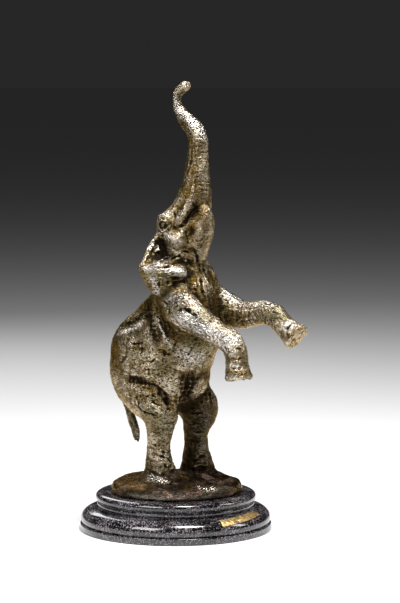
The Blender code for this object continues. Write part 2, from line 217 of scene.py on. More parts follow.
# %% Geometry tree helpers
INPUT_KINDS = {float: "NodeSocketFloat", int: "NodeSocketInt", bpy.types.Material: "NodeSocketMaterial"}


def geometry_tree(name, kinds):
    """New geometry tree with the named inputs. Returns it with its incoming geometry and inputs."""
    tree = bpy.data.node_groups.new(name, "GeometryNodeTree")
    tree.interface.new_socket("Geometry", in_out="INPUT", socket_type="NodeSocketGeometry")
    for label, kind in kinds.items():
        tree.interface.new_socket(label, in_out="INPUT", socket_type=INPUT_KINDS[kind])
    tree.interface.new_socket("Geometry", in_out="OUTPUT", socket_type="NodeSocketGeometry")
    sheet = Tree(tree)
    first = sheet.add("NodeGroupInput")
    return sheet, first, {label: first.out(label) for label in kinds}


def end_tree(sheet, shape, look):
    """Realize the instances, set the material and link the result."""
    real = sheet.add("GeometryNodeRealizeInstances", None, {"Geometry": shape})
    done = sheet.add("GeometryNodeSetMaterial", None, {"Geometry": real, "Material": look})
    sheet.add("NodeGroupOutput", None, {"Geometry": done})


def plain_mesh(piece):
    """Keep what an object's modifiers make as its own mesh."""
    graph = bpy.context.evaluated_depsgraph_get()
    mesh = bpy.data.meshes.new_from_object(piece.evaluated_get(graph))
    piece.modifiers.clear()
    piece.data = mesh
    return piece


def run_tree(piece, sheet, **sizes):
    """Put a piece through a geometry tree with these sizes."""
    step = piece.modifiers.new(sheet.tree.name, "NODES")
    step.node_group = sheet.tree
    for item in sheet.tree.interface.items_tree:
        if item.in_out == "INPUT" and item.name.replace(" ", "_").lower() in sizes:
            step[item.identifier] = sizes[item.name.replace(" ", "_").lower()]
    return plain_mesh(piece)


print("a tree's inputs can be:", [kind.__name__ for kind in INPUT_KINDS])

# %% Mesh helpers
def add_mesh(name, points, faces=(), edges=()):
    """Object at the origin from points in millimetres."""
    mesh = bpy.data.meshes.new(name)
    places = [tuple(MM * float(c) for c in point) for point in points]
    mesh.from_pydata(places, list(edges), list(faces))
    piece = bpy.data.objects.new(name, mesh)
    bpy.context.scene.collection.objects.link(piece)
    return piece


SAME_PLACE = 0.01 * MM


def tidy_mesh(piece, smooth_degrees=180.0):
    """Merge doubles, turn the faces outwards and shade smooth up to an angle."""
    shape = bmesh.new()
    shape.from_mesh(piece.data)
    bmesh.ops.remove_doubles(shape, verts=shape.verts, dist=SAME_PLACE)
    bmesh.ops.recalc_face_normals(shape, faces=shape.faces)
    shape.to_mesh(piece.data)
    shape.free()
    piece.data.polygons.foreach_set("use_smooth", [True] * len(piece.data.polygons))
    if smooth_degrees < 180:
        piece.data.set_sharp_from_angle(angle=math.radians(smooth_degrees))
    return piece


def triangles(piece):
    """Number of triangles in a piece's mesh."""
    piece.data.calc_loop_triangles()
    return len(piece.data.loop_triangles)


print("doubles merge within", round(SAME_PLACE / MM, 3), "mm")

# %% [markdown]
# ## Camera
#
# The photograph looks at the elephant's right side from 38 degrees ahead of it, a little above the
# trunk's height, with a long lens. The numbers below put the plinth's rings and the trunk's tip on
# the same pixels.

# %% Camera at the photograph's view
BEARING = math.radians(38.0)
AWAY = 2.4
EYE_HEIGHT = 0.466
AIM_HEIGHT = 0.228
METRES_PER_PIXEL = 0.00099
AXIS_OFFSET = 24.5 * METRES_PER_PIXEL
FRAME_ROWS = 603
SENSOR = 36.0

lens = bpy.data.cameras.new("camera")
lens.sensor_fit = "VERTICAL"
lens.sensor_height = SENSOR
lens.lens = SENSOR * AWAY / METRES_PER_PIXEL / FRAME_ROWS
lens.clip_start = 0.05
camera = bpy.data.objects.new("camera", lens)
bpy.context.scene.collection.objects.link(camera)
camera.location = (AWAY * math.sin(BEARING), -AWAY * math.cos(BEARING), EYE_HEIGHT)
aim = Vector((AXIS_OFFSET * math.cos(BEARING), AXIS_OFFSET * math.sin(BEARING), AIM_HEIGHT))
camera.rotation_euler = (aim - camera.location).to_track_quat("-Z", "Y").to_euler()
bpy.context.scene.camera = camera
print("lens", round(lens.lens, 1), "mm")

# %% [markdown]
# ## Light and floor
#
# The bronze is a dark mirror, so it shows what stands round it more than its own colour. A large soft
# box on the near side gives the broad lights, a small strong one overhead brightens the tops of the
# raised legs, and two tall narrow ones on the far side draw its edges and the back. The floor is one
# plain pale grey all over and the world is a plain dim grey. The far floor only looks darker because
# the soft boxes stand close to the figure.

# %% Studio
LIT_POINT = Vector((0.0, 0.0, 0.22))


def soft_box(name, azimuth, elevation, away, width, height, power):
    """Area light that faces the middle of the figure."""
    lamp = bpy.data.lights.new(name, "AREA")
    lamp.shape = "RECTANGLE"
    lamp.size = width
    lamp.size_y = height
    lamp.energy = power
    holder = bpy.data.objects.new(name, lamp)
    bpy.context.scene.collection.objects.link(holder)
    a, e = math.radians(azimuth), math.radians(elevation)
    out = Vector((math.sin(a) * math.cos(e), -math.cos(a) * math.cos(e), math.sin(e)))
    holder.location = LIT_POINT + away * out
    holder.rotation_euler = (LIT_POINT - holder.location).to_track_quat("-Z", "Y").to_euler()


# Name, bearing and height in degrees, distance, width and height in metres, watts.
SOFT_BOXES = [
    ("key_light", -6, 40, 1.5, 0.8, 0.7, 19),
    ("top_light", 84, 74, 1.2, 0.4, 0.4, 30),
    ("side_light", 128, 28, 1.6, 0.3, 0.8, 8),
    ("back_light", 236, 30, 1.7, 0.5, 0.9, 5),
]
for box in SOFT_BOXES:
    soft_box(*box)
print("soft boxes:", len(SOFT_BOXES), "with", sum(box[-1] for box in SOFT_BOXES), "watts in all")

# %% Floor and world
WORLD_GREY = 0.02
FLOOR_GREY = 0.85
FLOOR_RADIUS = 40.0
bpy.context.scene.view_settings.view_transform = "Standard"
world = bpy.data.worlds.new("studio")
bpy.context.scene.world = world
world.use_nodes = True
backing = world.node_tree.nodes["Background"]
backing.inputs["Color"].default_value = (WORLD_GREY, WORLD_GREY, WORLD_GREY, 1.0)
backing.inputs["Strength"].default_value = 1.0

floor_look = bpy.data.materials.new("pale_floor")
floor_look.use_nodes = True
shader = floor_look.node_tree.nodes["Principled BSDF"]
shader.inputs["Base Color"].default_value = (FLOOR_GREY, FLOOR_GREY, FLOOR_GREY, 1.0)
shader.inputs["Roughness"].default_value = 0.6
bpy.ops.mesh.primitive_circle_add(vertices=96, radius=FLOOR_RADIUS, fill_type="NGON")
floor = bpy.context.object
floor.name = "floor"
floor.data.materials.append(floor_look)
print("floor grey", FLOOR_GREY, "under a world of grey", WORLD_GREY)

# %% [markdown]
# ## The marble
#
# The plinth is a black stone full of fine grey, violet and brown crystals under a high polish. A
# picture could carry that, but crystals are small cells with one tone each, which is what a Voronoi
# texture gives: cells near a millimetre, of which only some are light, and a finer layer between them.

# %% Black speckled marble
def new_look(name, **values):
    """Material with a Principled shader whose uniform values are set on its own sockets."""
    look = bpy.data.materials.new(name)
    look.use_nodes = True
    shader = look.node_tree.nodes["Principled BSDF"]
    for label, value in values.items():
        shader.inputs[label.replace("_", " ")].default_value = value
    return look, Tree(look.node_tree), shader


def feed(look, shader, **links):
    """Link wires into the shader's sockets."""
    for label, wire in links.items():
        look.node_tree.links.new(wire.socket, shader.inputs[label.replace("_", " ")])


CRYSTALS_PER_METRE = 1150.0
DUST_PER_METRE = 2300.0
CLOUDS_PER_METRE = 45.0
GREY_CRYSTAL = (0.27, 0.26, 0.3)
BROWN_CRYSTAL = (0.14, 0.095, 0.085)
BLACK_STONE = (0.0006, 0.0005, 0.0008)
GREY_DUST = (0.036, 0.033, 0.041)
marble, sheet, shader = new_look(
    "black_marble", Coat_Weight=0.45, Coat_Roughness=0.08, Specular_IOR_Level=0.5
)
where = sheet.add("ShaderNodeTexCoord", out="Object")
tones = sheet.tones(sheet.cells(where, CRYSTALS_PER_METRE, "Color"))
fine = sheet.tones(sheet.cells(where, DUST_PER_METRE, "Color"), 1)
cloud = (sheet.noise(where, CLOUDS_PER_METRE, 3.0) - 0.5) * 0.7
light_share = (tones * 0.7 + cloud).ramp(0.47, 0.63)
dust_share = (fine * 0.7 + cloud).ramp(0.38, 0.62) * 0.4
grain = sheet.mixed(tones.out(1), GREY_CRYSTAL, BROWN_CRYSTAL)
colour = sheet.mixed(dust_share, BLACK_STONE, GREY_DUST)
colour = sheet.mixed(light_share, colour, grain)
feed(marble, shader, Base_Color=colour, Roughness=light_share * 0.12 + 0.16)
print("marble nodes:", len(marble.node_tree.nodes))

# %% [markdown]
# ## The plinth
#
# A stone turner cuts the plinth against a profile. It could be spun by hand, but its shape follows a
# rule: every point of the profile goes round the axis. So the profile is drawn once in millimetres,
# with its corners eased as polishing eases them, and Geometry Nodes turns it: a grid has a row for
# each profile point and a column for each angle, and each of its points takes its radius and height
# from the profile.

# %% Sizes of the plinth
FOOT_RADIUS = 95.8
FOOT_HEIGHT = 6.5
STEP_RADIUS = 92.6
STEP_HEIGHT = 0.6
OVOLO_RADIUS = 95.2
OVOLO_SWELL = 4.7
OVOLO_FALL = 10.6
OVOLO_TOP_RADIUS = 80.5
COVE_RADIUS = 77.0
COVE_HEIGHT = 2.4
FILLET_RADIUS = 78.8
FILLET_HEIGHT = 3.2
GROOVE_DEPTH = 1.6
GROOVE_HEIGHT = 0.6
DISC_RADIUS = 80.4
DISC_LIP = 2.2
DISC_SWELL = 3.2
DISC_WALL = 0.9
DISC_FALL = 4.2
DISC_TOP_RADIUS = 74.5
OVOLO_TOP = FOOT_HEIGHT + STEP_HEIGHT + OVOLO_SWELL + OVOLO_FALL
FILLET_TOP = OVOLO_TOP + COVE_HEIGHT + FILLET_HEIGHT
PLINTH_HEIGHT = FILLET_TOP + 2 * GROOVE_HEIGHT + DISC_SWELL + DISC_WALL + DISC_FALL
print("plinth height", round(PLINTH_HEIGHT, 1), "mm")

# %% Profile of the plinth
def arc(r0, z0, r1, z1, steps, upright_first):
    """Quarter of an ellipse from one profile point to another."""
    turn = np.linspace(0, math.pi / 2, steps + 1)
    if upright_first:
        return list(zip(r0 + (r1 - r0) * (1 - np.cos(turn)), z0 + (z1 - z0) * np.sin(turn)))
    return list(zip(r0 + (r1 - r0) * np.sin(turn), z0 + (z1 - z0) * (1 - np.cos(turn))))


def ovolo(steps):
    """Curved side of the lower step, from its foot to its top edge."""
    low = FOOT_HEIGHT + STEP_HEIGHT
    widest = low + OVOLO_SWELL
    lower = arc(STEP_RADIUS, low, OVOLO_RADIUS, widest, steps // 2, False)
    return lower + arc(OVOLO_RADIUS, widest, OVOLO_TOP_RADIUS, OVOLO_TOP, steps, True)[1:]


EASE = 0.8
LONGEST_SHARE = 0.45
SHARP_TURN = math.radians(22)


def eased(points):
    """The same line with each sharp corner rounded by a small curve."""
    out = [points[0]]
    for before, corner, after in zip(points, points[1:], points[2:]):
        a, b, c = (Vector(p) for p in (before, corner, after))
        back, ahead = a - b, c - b
        if min(back.length, ahead.length) < 1e-6 or back.angle(-ahead) < SHARP_TURN:
            out.append(corner)
            continue
        p = b + back.normalized() * min(EASE, LONGEST_SHARE * back.length)
        q = b + ahead.normalized() * min(EASE, LONGEST_SHARE * ahead.length)
        for t in (0.0, 0.25, 0.5, 0.75, 1.0):
            out.append(tuple((1 - t) ** 2 * p + 2 * t * (1 - t) * b + t * t * q))
    return out + [points[-1]]


cove_top = OVOLO_TOP + COVE_HEIGHT
profile = [(0.0, 0.0), (FOOT_RADIUS, 0.0), (FOOT_RADIUS, FOOT_HEIGHT)] + ovolo(18)
profile += [(COVE_RADIUS, OVOLO_TOP + 0.2 * COVE_HEIGHT)]
profile += [(COVE_RADIUS, cove_top - 0.3 * COVE_HEIGHT)]
profile += [(FILLET_RADIUS, cove_top), (FILLET_RADIUS, FILLET_TOP - GROOVE_HEIGHT)]
profile += [(FILLET_RADIUS - GROOVE_DEPTH, FILLET_TOP)]
disc_low = FILLET_TOP + 2 * GROOVE_HEIGHT
disc_wall = disc_low + DISC_SWELL
profile += arc(DISC_RADIUS - DISC_LIP, disc_low, DISC_RADIUS, disc_wall, 6, False)
profile += arc(DISC_RADIUS, disc_wall + DISC_WALL, DISC_TOP_RADIUS, PLINTH_HEIGHT, 8, True)
profile += [(0.0, PLINTH_HEIGHT)]
profile = eased(profile)
print("profile points:", len(profile))

# %% Turning the plinth
sheet, shape, size = geometry_tree("turn_profile", {"Sides": int, "Stone": bpy.types.Material})
rows = sheet.add(
    "GeometryNodeAttributeDomainSize", {"component": "MESH"}, {"Geometry": shape}, "Point Count"
)
grid = sheet.add("GeometryNodeMeshGrid", None, {"Vertices X": size["Sides"] + 1.0, "Vertices Y": rows})
number = sheet.add("GeometryNodeInputIndex")
column = ((number + 0.5) / rows).math("FLOOR")
row = number - column * rows
place = sheet.add("GeometryNodeInputPosition")
point = sheet.add(
    "GeometryNodeSampleIndex",
    {"data_type": "FLOAT_VECTOR", "domain": "POINT"},
    {"Geometry": shape, "Value": place, "Index": row},
)
parts = sheet.parts(point)
turn = column / size["Sides"] * (2 * math.pi)
spot = sheet.joined(parts * turn.math("COSINE"), parts * turn.math("SINE"), parts.out("Z"))
round_grid = sheet.add("GeometryNodeSetPosition", None, {"Geometry": grid, "Position": spot})
end_tree(sheet, round_grid, size["Stone"])
outline = [(r, 0.0, z) for r, z in profile]
steps = [(k, k + 1) for k in range(len(outline) - 1)]
SIDES_ROUND = 240
SHARPEST_DEGREES = 50
plinth = run_tree(
    add_mesh("turned_plinth", outline, edges=steps), sheet, sides=SIDES_ROUND, stone=marble
)
tidy_mesh(plinth, SHARPEST_DEGREES)
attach(plinth, "root")
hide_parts("marble_plinth")
print("plinth triangles:", triangles(plinth))

# %% [markdown]
# ## The casting: finer forms
#
# A sculptor builds the animal in clay or wax over a wire, pat by pat, and the foundry casts it with
# the ground it stands on. The CAD node has the right masses but flat facets. It could be subdivided
# alone, but tusks, eyelids, nails and stones need clay of their own. So they are modelled as separate
# closed shapes that sink into a copy of the node, and one voxel remesh runs all of it together, as a
# thumb does. Heights in these cells are above the seat, in millimetres.

# %% Sweeping ellipses
def smooth_rows(rows, steps):
    """Catmull-Rom curve through rows of numbers."""
    rows = np.array(rows, float)
    padded = np.vstack([2 * rows[0] - rows[1], rows, 2 * rows[-1] - rows[-2]])
    out = []
    for k in range(len(rows) - 1):
        a, b, c, d = padded[k : k + 4]
        for t in np.arange(steps) / steps:
            out.append(
                0.5 * (2 * b + (c - a) * t + (2 * a - 5 * b + 4 * c - d) * t**2)
                + 0.5 * (3 * b - a - 3 * c + d) * t**3
            )
    return np.array(out + [rows[-1]])


def sweep(name, stations, sides=22, steps=5):
    """Closed skin through stations: centre x, y, z, half width across and half depth."""
    rows = smooth_rows(stations, steps)
    centres = rows[:, :3] + (0, 0, SEAT)
    ahead = np.gradient(centres, axis=0)
    ahead /= np.linalg.norm(ahead, axis=1)[:, None]
    wide = np.array((0.0, 1.0, 0.0)) - ahead[:, 1:2] * ahead
    wide /= np.linalg.norm(wide, axis=1)[:, None]
    up = np.cross(ahead, wide)
    angle = np.linspace(0, 2 * math.pi, sides, endpoint=False)
    points = [
        c + a * math.cos(t) * w + d * math.sin(t) * u
        for c, w, u, (a, d) in zip(centres, wide, up, rows[:, 3:])
        for t in angle
    ]
    faces = [tuple(range(sides)), tuple(range(len(points) - sides, len(points)))]
    for r in range(len(centres) - 1):
        for s in range(sides):
            a, b = r * sides + s, r * sides + (s + 1) % sides
            faces.append((a, b, b + sides, a + sides))
    return tidy_mesh(add_mesh(name, points, faces))


def mirrored(stations, side):
    """Stations or points of the near side, or their mirror image for side 1."""
    return [(row[0], -side * row[1], *row[2:]) for row in stations]


print("a straight test curve has", len(smooth_rows([(0, 0, 0), (1, 1, 1)], 5)), "rows")

# %% Tusks, lids, eyes and the tail's tuft
# Stations of the near side: centre x, y, z, half width across, half depth.
TUSK = [
    (17, -19, 268, 4.4, 4.6),
    (22, -19.6, 276, 4.0, 4.2),
    (27, -18.0, 285, 3.3, 3.5),
    (30.2, -15.6, 294, 2.5, 2.7),
    (32.0, -13.6, 302, 1.6, 1.8),
    (32.8, -12.2, 308, 0.6, 0.7),
]
LOWER_LID = [
    (-0.6, -25.4, 266.5, 1.0, 1.0),
    (4.4, -27.2, 263.2, 1.5, 1.5),
    (9.6, -26.0, 266.0, 1.0, 1.0),
]
UPPER_LID = [
    (-1.0, -25.0, 268.5, 1.0, 1.0),
    (4.0, -26.8, 272.0, 1.7, 1.7),
    (9.8, -25.6, 269.2, 1.0, 1.0),
]
TAIL_TUFT = [
    [
        (-62, 0.5, 82, 4.3, 4.6),
        (-56.5, 0.5, 68, 4.3, 4.7),
        (-51.8, 0.5, 56, 3.9, 4.6),
        (-48.8, 0.3, 47, 1.6, 2.4),
    ],
    [(-52, 0.5, 58, 2.6, 3.0), (-50.4, 1.6, 50, 2.0, 2.2), (-49.2, 1.2, 44, 0.8, 0.9)],
    [(-53.5, -0.5, 60, 2.6, 2.8), (-51.5, -1.8, 51, 1.9, 2.0), (-50.4, -1.6, 45.5, 0.7, 0.8)],
]
EYE = (4.6, 25.9, 267.6)
EYE_RADIUS = 2.5
LID_SIDES = 14
details = [sweep("tuft", strand) for strand in TAIL_TUFT]
for side in (-1, 1):
    details.append(sweep("tusk", mirrored(TUSK, -side)))
    details.append(sweep("lower_lid", mirrored(LOWER_LID, -side), LID_SIDES))
    details.append(sweep("upper_lid", mirrored(UPPER_LID, -side), LID_SIDES))
    ball = add_mesh("eye", [], [])
    shape = bmesh.new()
    bmesh.ops.create_uvsphere(shape, u_segments=20, v_segments=12, radius=EYE_RADIUS * MM)
    centre = Vector((EYE[0], side * EYE[1], SEAT + EYE[2])) * MM
    bmesh.ops.translate(shape, verts=shape.verts, vec=centre)
    shape.to_mesh(ball.data)
    shape.free()
    details.append(ball)
print("added forms:", len(details))

# %% [markdown]
# ## Toenails and stones
#
# Each foot shows a row of nails, and the ground is a skin of stones pressed into clay. Both repeat, so
# Geometry Nodes make them. The nails are one flattened ball set at equal turns round an ellipse. The
# stones are scattered by a fixed seed on the upward faces of the ground only.

# %% Rows of nails
sheet, shape, size = geometry_tree(
    "nail_row",
    {
        "Count": int,
        "Foot Depth": float,
        "Foot Width": float,
        "Spread": float,
        "Nail Width": float,
        "Nail Height": float,
        "Nail Depth": float,
        "Look": bpy.types.Material,
    },
)
spots = sheet.add("GeometryNodePoints", None, {"Count": size["Count"]})
number = sheet.add("GeometryNodeInputIndex")
turn = (number / (size["Count"] - 1.0) - 0.5) * size["Spread"]
spot = sheet.joined(
    turn.math("COSINE") * size["Foot Depth"], turn.math("SINE") * size["Foot Width"]
)
spots = sheet.add("GeometryNodeSetPosition", None, {"Geometry": spots, "Position": spot})
nail = sheet.add("GeometryNodeMeshUVSphere", None, {"Segments": 16, "Rings": 10, "Radius": 1.0})
stretch = sheet.joined(size["Nail Depth"], size["Nail Width"], size["Nail Height"])
facing = sheet.joined(z=turn)
nails = sheet.add(
    "GeometryNodeInstanceOnPoints",
    None,
    {"Points": spots, "Instance": nail, "Rotation": facing, "Scale": stretch},
)
end_tree(sheet, nails, size["Look"])
print("nodes for a row of nails:", len(sheet.tree.nodes))

# %% Nails on the four feet
NAILS = 5
NAIL_SPREAD = 2.5
NAIL_DEPTH = 0.9
# Each foot: its middle, the way to its front, the way up its leg, its half depth and half width, and
# the half width and half height of its nails.
FEET = [
    ((1, -26, 26), (1, 0, 0), (0, 0, 1), 15.2, 14.0, 4.0, 3.0),
    ((8, 26, 20.5), (1, 0, 0), (0, 0, 1), 16.8, 15.0, 4.2, 3.2),
    ((103.6, -34, 126.6), (1, 0, 0), (0, 0, 1), 13.6, 12.2, 2.9, 2.9),
    ((122.6, 34, 159.6), (0.62, 0, 0.78), (-0.78, 0, 0.62), 14.4, 12.8, 3.0, 3.0),
]
for middle, front, up, depth, width, nail_width, nail_height in FEET:
    row = run_tree(
        add_mesh("nails", [(0, 0, 0)]),
        sheet,
        count=NAILS,
        foot_depth=depth * MM,
        foot_width=width * MM,
        spread=NAIL_SPREAD,
        nail_width=nail_width * MM,
        nail_height=nail_height * MM,
        nail_depth=NAIL_DEPTH * MM,
    )
    front, up = Vector(front), Vector(up)
    across = up.cross(front)
    place = Matrix((front, across, up)).transposed().to_4x4()
    place.translation = Vector((middle[0], middle[1], middle[2] + SEAT)) * MM
    row.data.transform(place)
    details.append(tidy_mesh(row))
print("nail rows:", len(FEET))


# %% A copy of a CAD node
SAME_CORNER = 0.002 * MM


def copy_of_node(node, name):
    """Editable copy of a CAD node, its loose triangles merged."""
    piece = bpy.data.objects.new(name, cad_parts[node].data.copy())
    bpy.context.scene.collection.objects.link(piece)
    piece.data.materials.clear()
    shape = bmesh.new()
    shape.from_mesh(piece.data)
    bmesh.ops.remove_doubles(shape, verts=shape.verts, dist=SAME_CORNER)
    shape.to_mesh(piece.data)
    shape.free()
    return piece


print("CAD nodes:", sorted(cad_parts))

# %% Stones in the ground
sheet, shape, size = geometry_tree(
    "stones",
    {
        "Spacing": float,
        "Ground Top": float,
        "Ground Radius": float,
        "Smallest": float,
        "Largest": float,
        "Seed": int,
        "Look": bpy.types.Material,
    },
)
LEVEL_ENOUGH = 0.85
DENSEST = 40000.0
FULL_TURN = 6.28
TILT = 0.12
place = sheet.add("GeometryNodeInputPosition")
height = sheet.parts(place, "Z")
flat_place = sheet.vector("MULTIPLY", place, (1.0, 1.0, 0.0))
from_axis = sheet.vector("LENGTH", flat_place, out="Value")
level = sheet.parts(sheet.add("GeometryNodeInputNormal"), "Z")
chosen = size["Ground Top"].math("GREATER_THAN", height) * level.math("GREATER_THAN", LEVEL_ENOUGH)
chosen = chosen * size["Ground Radius"].math("GREATER_THAN", from_axis)
spots = sheet.add(
    "GeometryNodeDistributePointsOnFaces",
    {"distribute_method": "POISSON"},
    {
        "Mesh": shape,
        "Selection": chosen,
        "Distance Min": size["Spacing"],
        "Density Max": DENSEST,
        "Seed": size["Seed"],
    },
)
stone = sheet.add("GeometryNodeMeshIcoSphere", None, {"Radius": 1.0, "Subdivisions": 3})
growth = sheet.add(
    "FunctionNodeRandomValue",
    {"data_type": "FLOAT_VECTOR"},
    {"Min": (0.7, 0.6, 0.1), "Max": (1.3, 1.0, 0.2), "Seed": size["Seed"]},
)
reach = sheet.add(
    "FunctionNodeRandomValue",
    {"data_type": "FLOAT"},
    {2: size["Smallest"], 3: size["Largest"]},
    1,
)
stretch = sheet.scaled(growth, reach)
turn = sheet.add(
    "FunctionNodeRandomValue",
    {"data_type": "FLOAT_VECTOR"},
    {"Min": (-TILT, -TILT, 0.0), "Max": (TILT, TILT, FULL_TURN), "Seed": size["Seed"]},
)
stones = sheet.add(
    "GeometryNodeInstanceOnPoints",
    None,
    {"Points": spots, "Instance": stone, "Rotation": turn, "Scale": stretch},
)
end_tree(sheet, stones, size["Look"])
stones = run_tree(
    copy_of_node("bronze_elephant", "stones"),
    sheet,
    spacing=13 * MM,
    ground_top=(SEAT + 16.5) * MM,
    ground_radius=46 * MM,
    smallest=5 * MM,
    largest=9 * MM,
    seed=5,
)
details.append(tidy_mesh(stones))
print("stone triangles:", triangles(stones))

# %% [markdown]
# ## One skin
#
# The copy is subdivided once and smoothed, so that its facets swell into curves, then joined with the
# added forms.
# The voxel remesh takes whatever closed shapes it is given and returns one even skin, which is what
# sculpting needs. Boolean unions would keep every seam sharp and often fail on clay-like shapes.

# %% Remesh
FIRST_VOXEL = 1.0
VOXEL = 0.8


def use_step(piece, kind, **settings):
    """Put a piece through one modifier and keep the result."""
    step = piece.modifiers.new(kind.lower(), kind)
    for name, value in settings.items():
        setattr(step, name, value)
    return plain_mesh(piece)


casting = copy_of_node("bronze_elephant", "bronze_casting")
corners = [corner.co.copy() for corner in casting.data.vertices]
skin = BVHTree.FromPolygons(corners, [tuple(face.vertices) for face in casting.data.polygons])
use_step(casting, "SUBSURF", levels=1, render_levels=1)
use_step(casting, "REMESH", mode="VOXEL", voxel_size=FIRST_VOXEL * MM)
use_step(casting, "SMOOTH", factor=0.6, iterations=14)
shape = bmesh.new()
for piece in [casting, *details]:
    shape.from_mesh(piece.data)
    if piece is not casting:
        bpy.data.objects.remove(piece, do_unlink=True)
shape.to_mesh(casting.data)
shape.free()
use_step(casting, "REMESH", mode="VOXEL", voxel_size=VOXEL * MM)
use_step(casting, "SMOOTH", factor=0.5, iterations=3)
print("casting triangles before carving:", triangles(casting))

# %% [markdown]
# ## Carved lines
#
# The face, the ear, the folds of skin and the kneecap are lines drawn with a tool. Each is a short
# polyline that lies on the skin. Vertices near it are moved along their normals by a bell curve, in
# for a groove and out for a ridge, with a small lip beside each groove, as clay gives. Most lines are
# used on both sides of the animal. A texture could not place them, and painting by hand isn't code.
# A point written as a pair is a pixel read off the photograph, and the camera's own ray finds
# its place on the CAD skin. A point of three numbers is a place in millimetres. Most of those were put
# or moved one by one, and some may be kept from a cast of such a pixel.

# %% Reading the photograph
FRAME_COLUMNS = 400
FOCAL_PIXELS = AWAY / METRES_PER_PIXEL


def seen(column, row):
    """Place on the CAD skin behind a pixel of the photograph, to the millimetre above the seat."""
    turn = camera.rotation_euler.to_matrix()
    across = (column - FRAME_COLUMNS / 2) / FOCAL_PIXELS
    upward = (FRAME_ROWS / 2 - row) / FOCAL_PIXELS
    place = skin.ray_cast(camera.location, turn @ Vector((across, upward, -1.0)))[0]
    return round(place.x / MM), round(place.y / MM), round(place.z / MM - SEAT)


def on_skin(points):
    """Places of a line's points: a pair is a pixel of the photograph, three numbers are a place."""
    return [seen(*point) if len(point) == 2 else point for point in points]


print("focal length in pixels:", round(FOCAL_PIXELS))

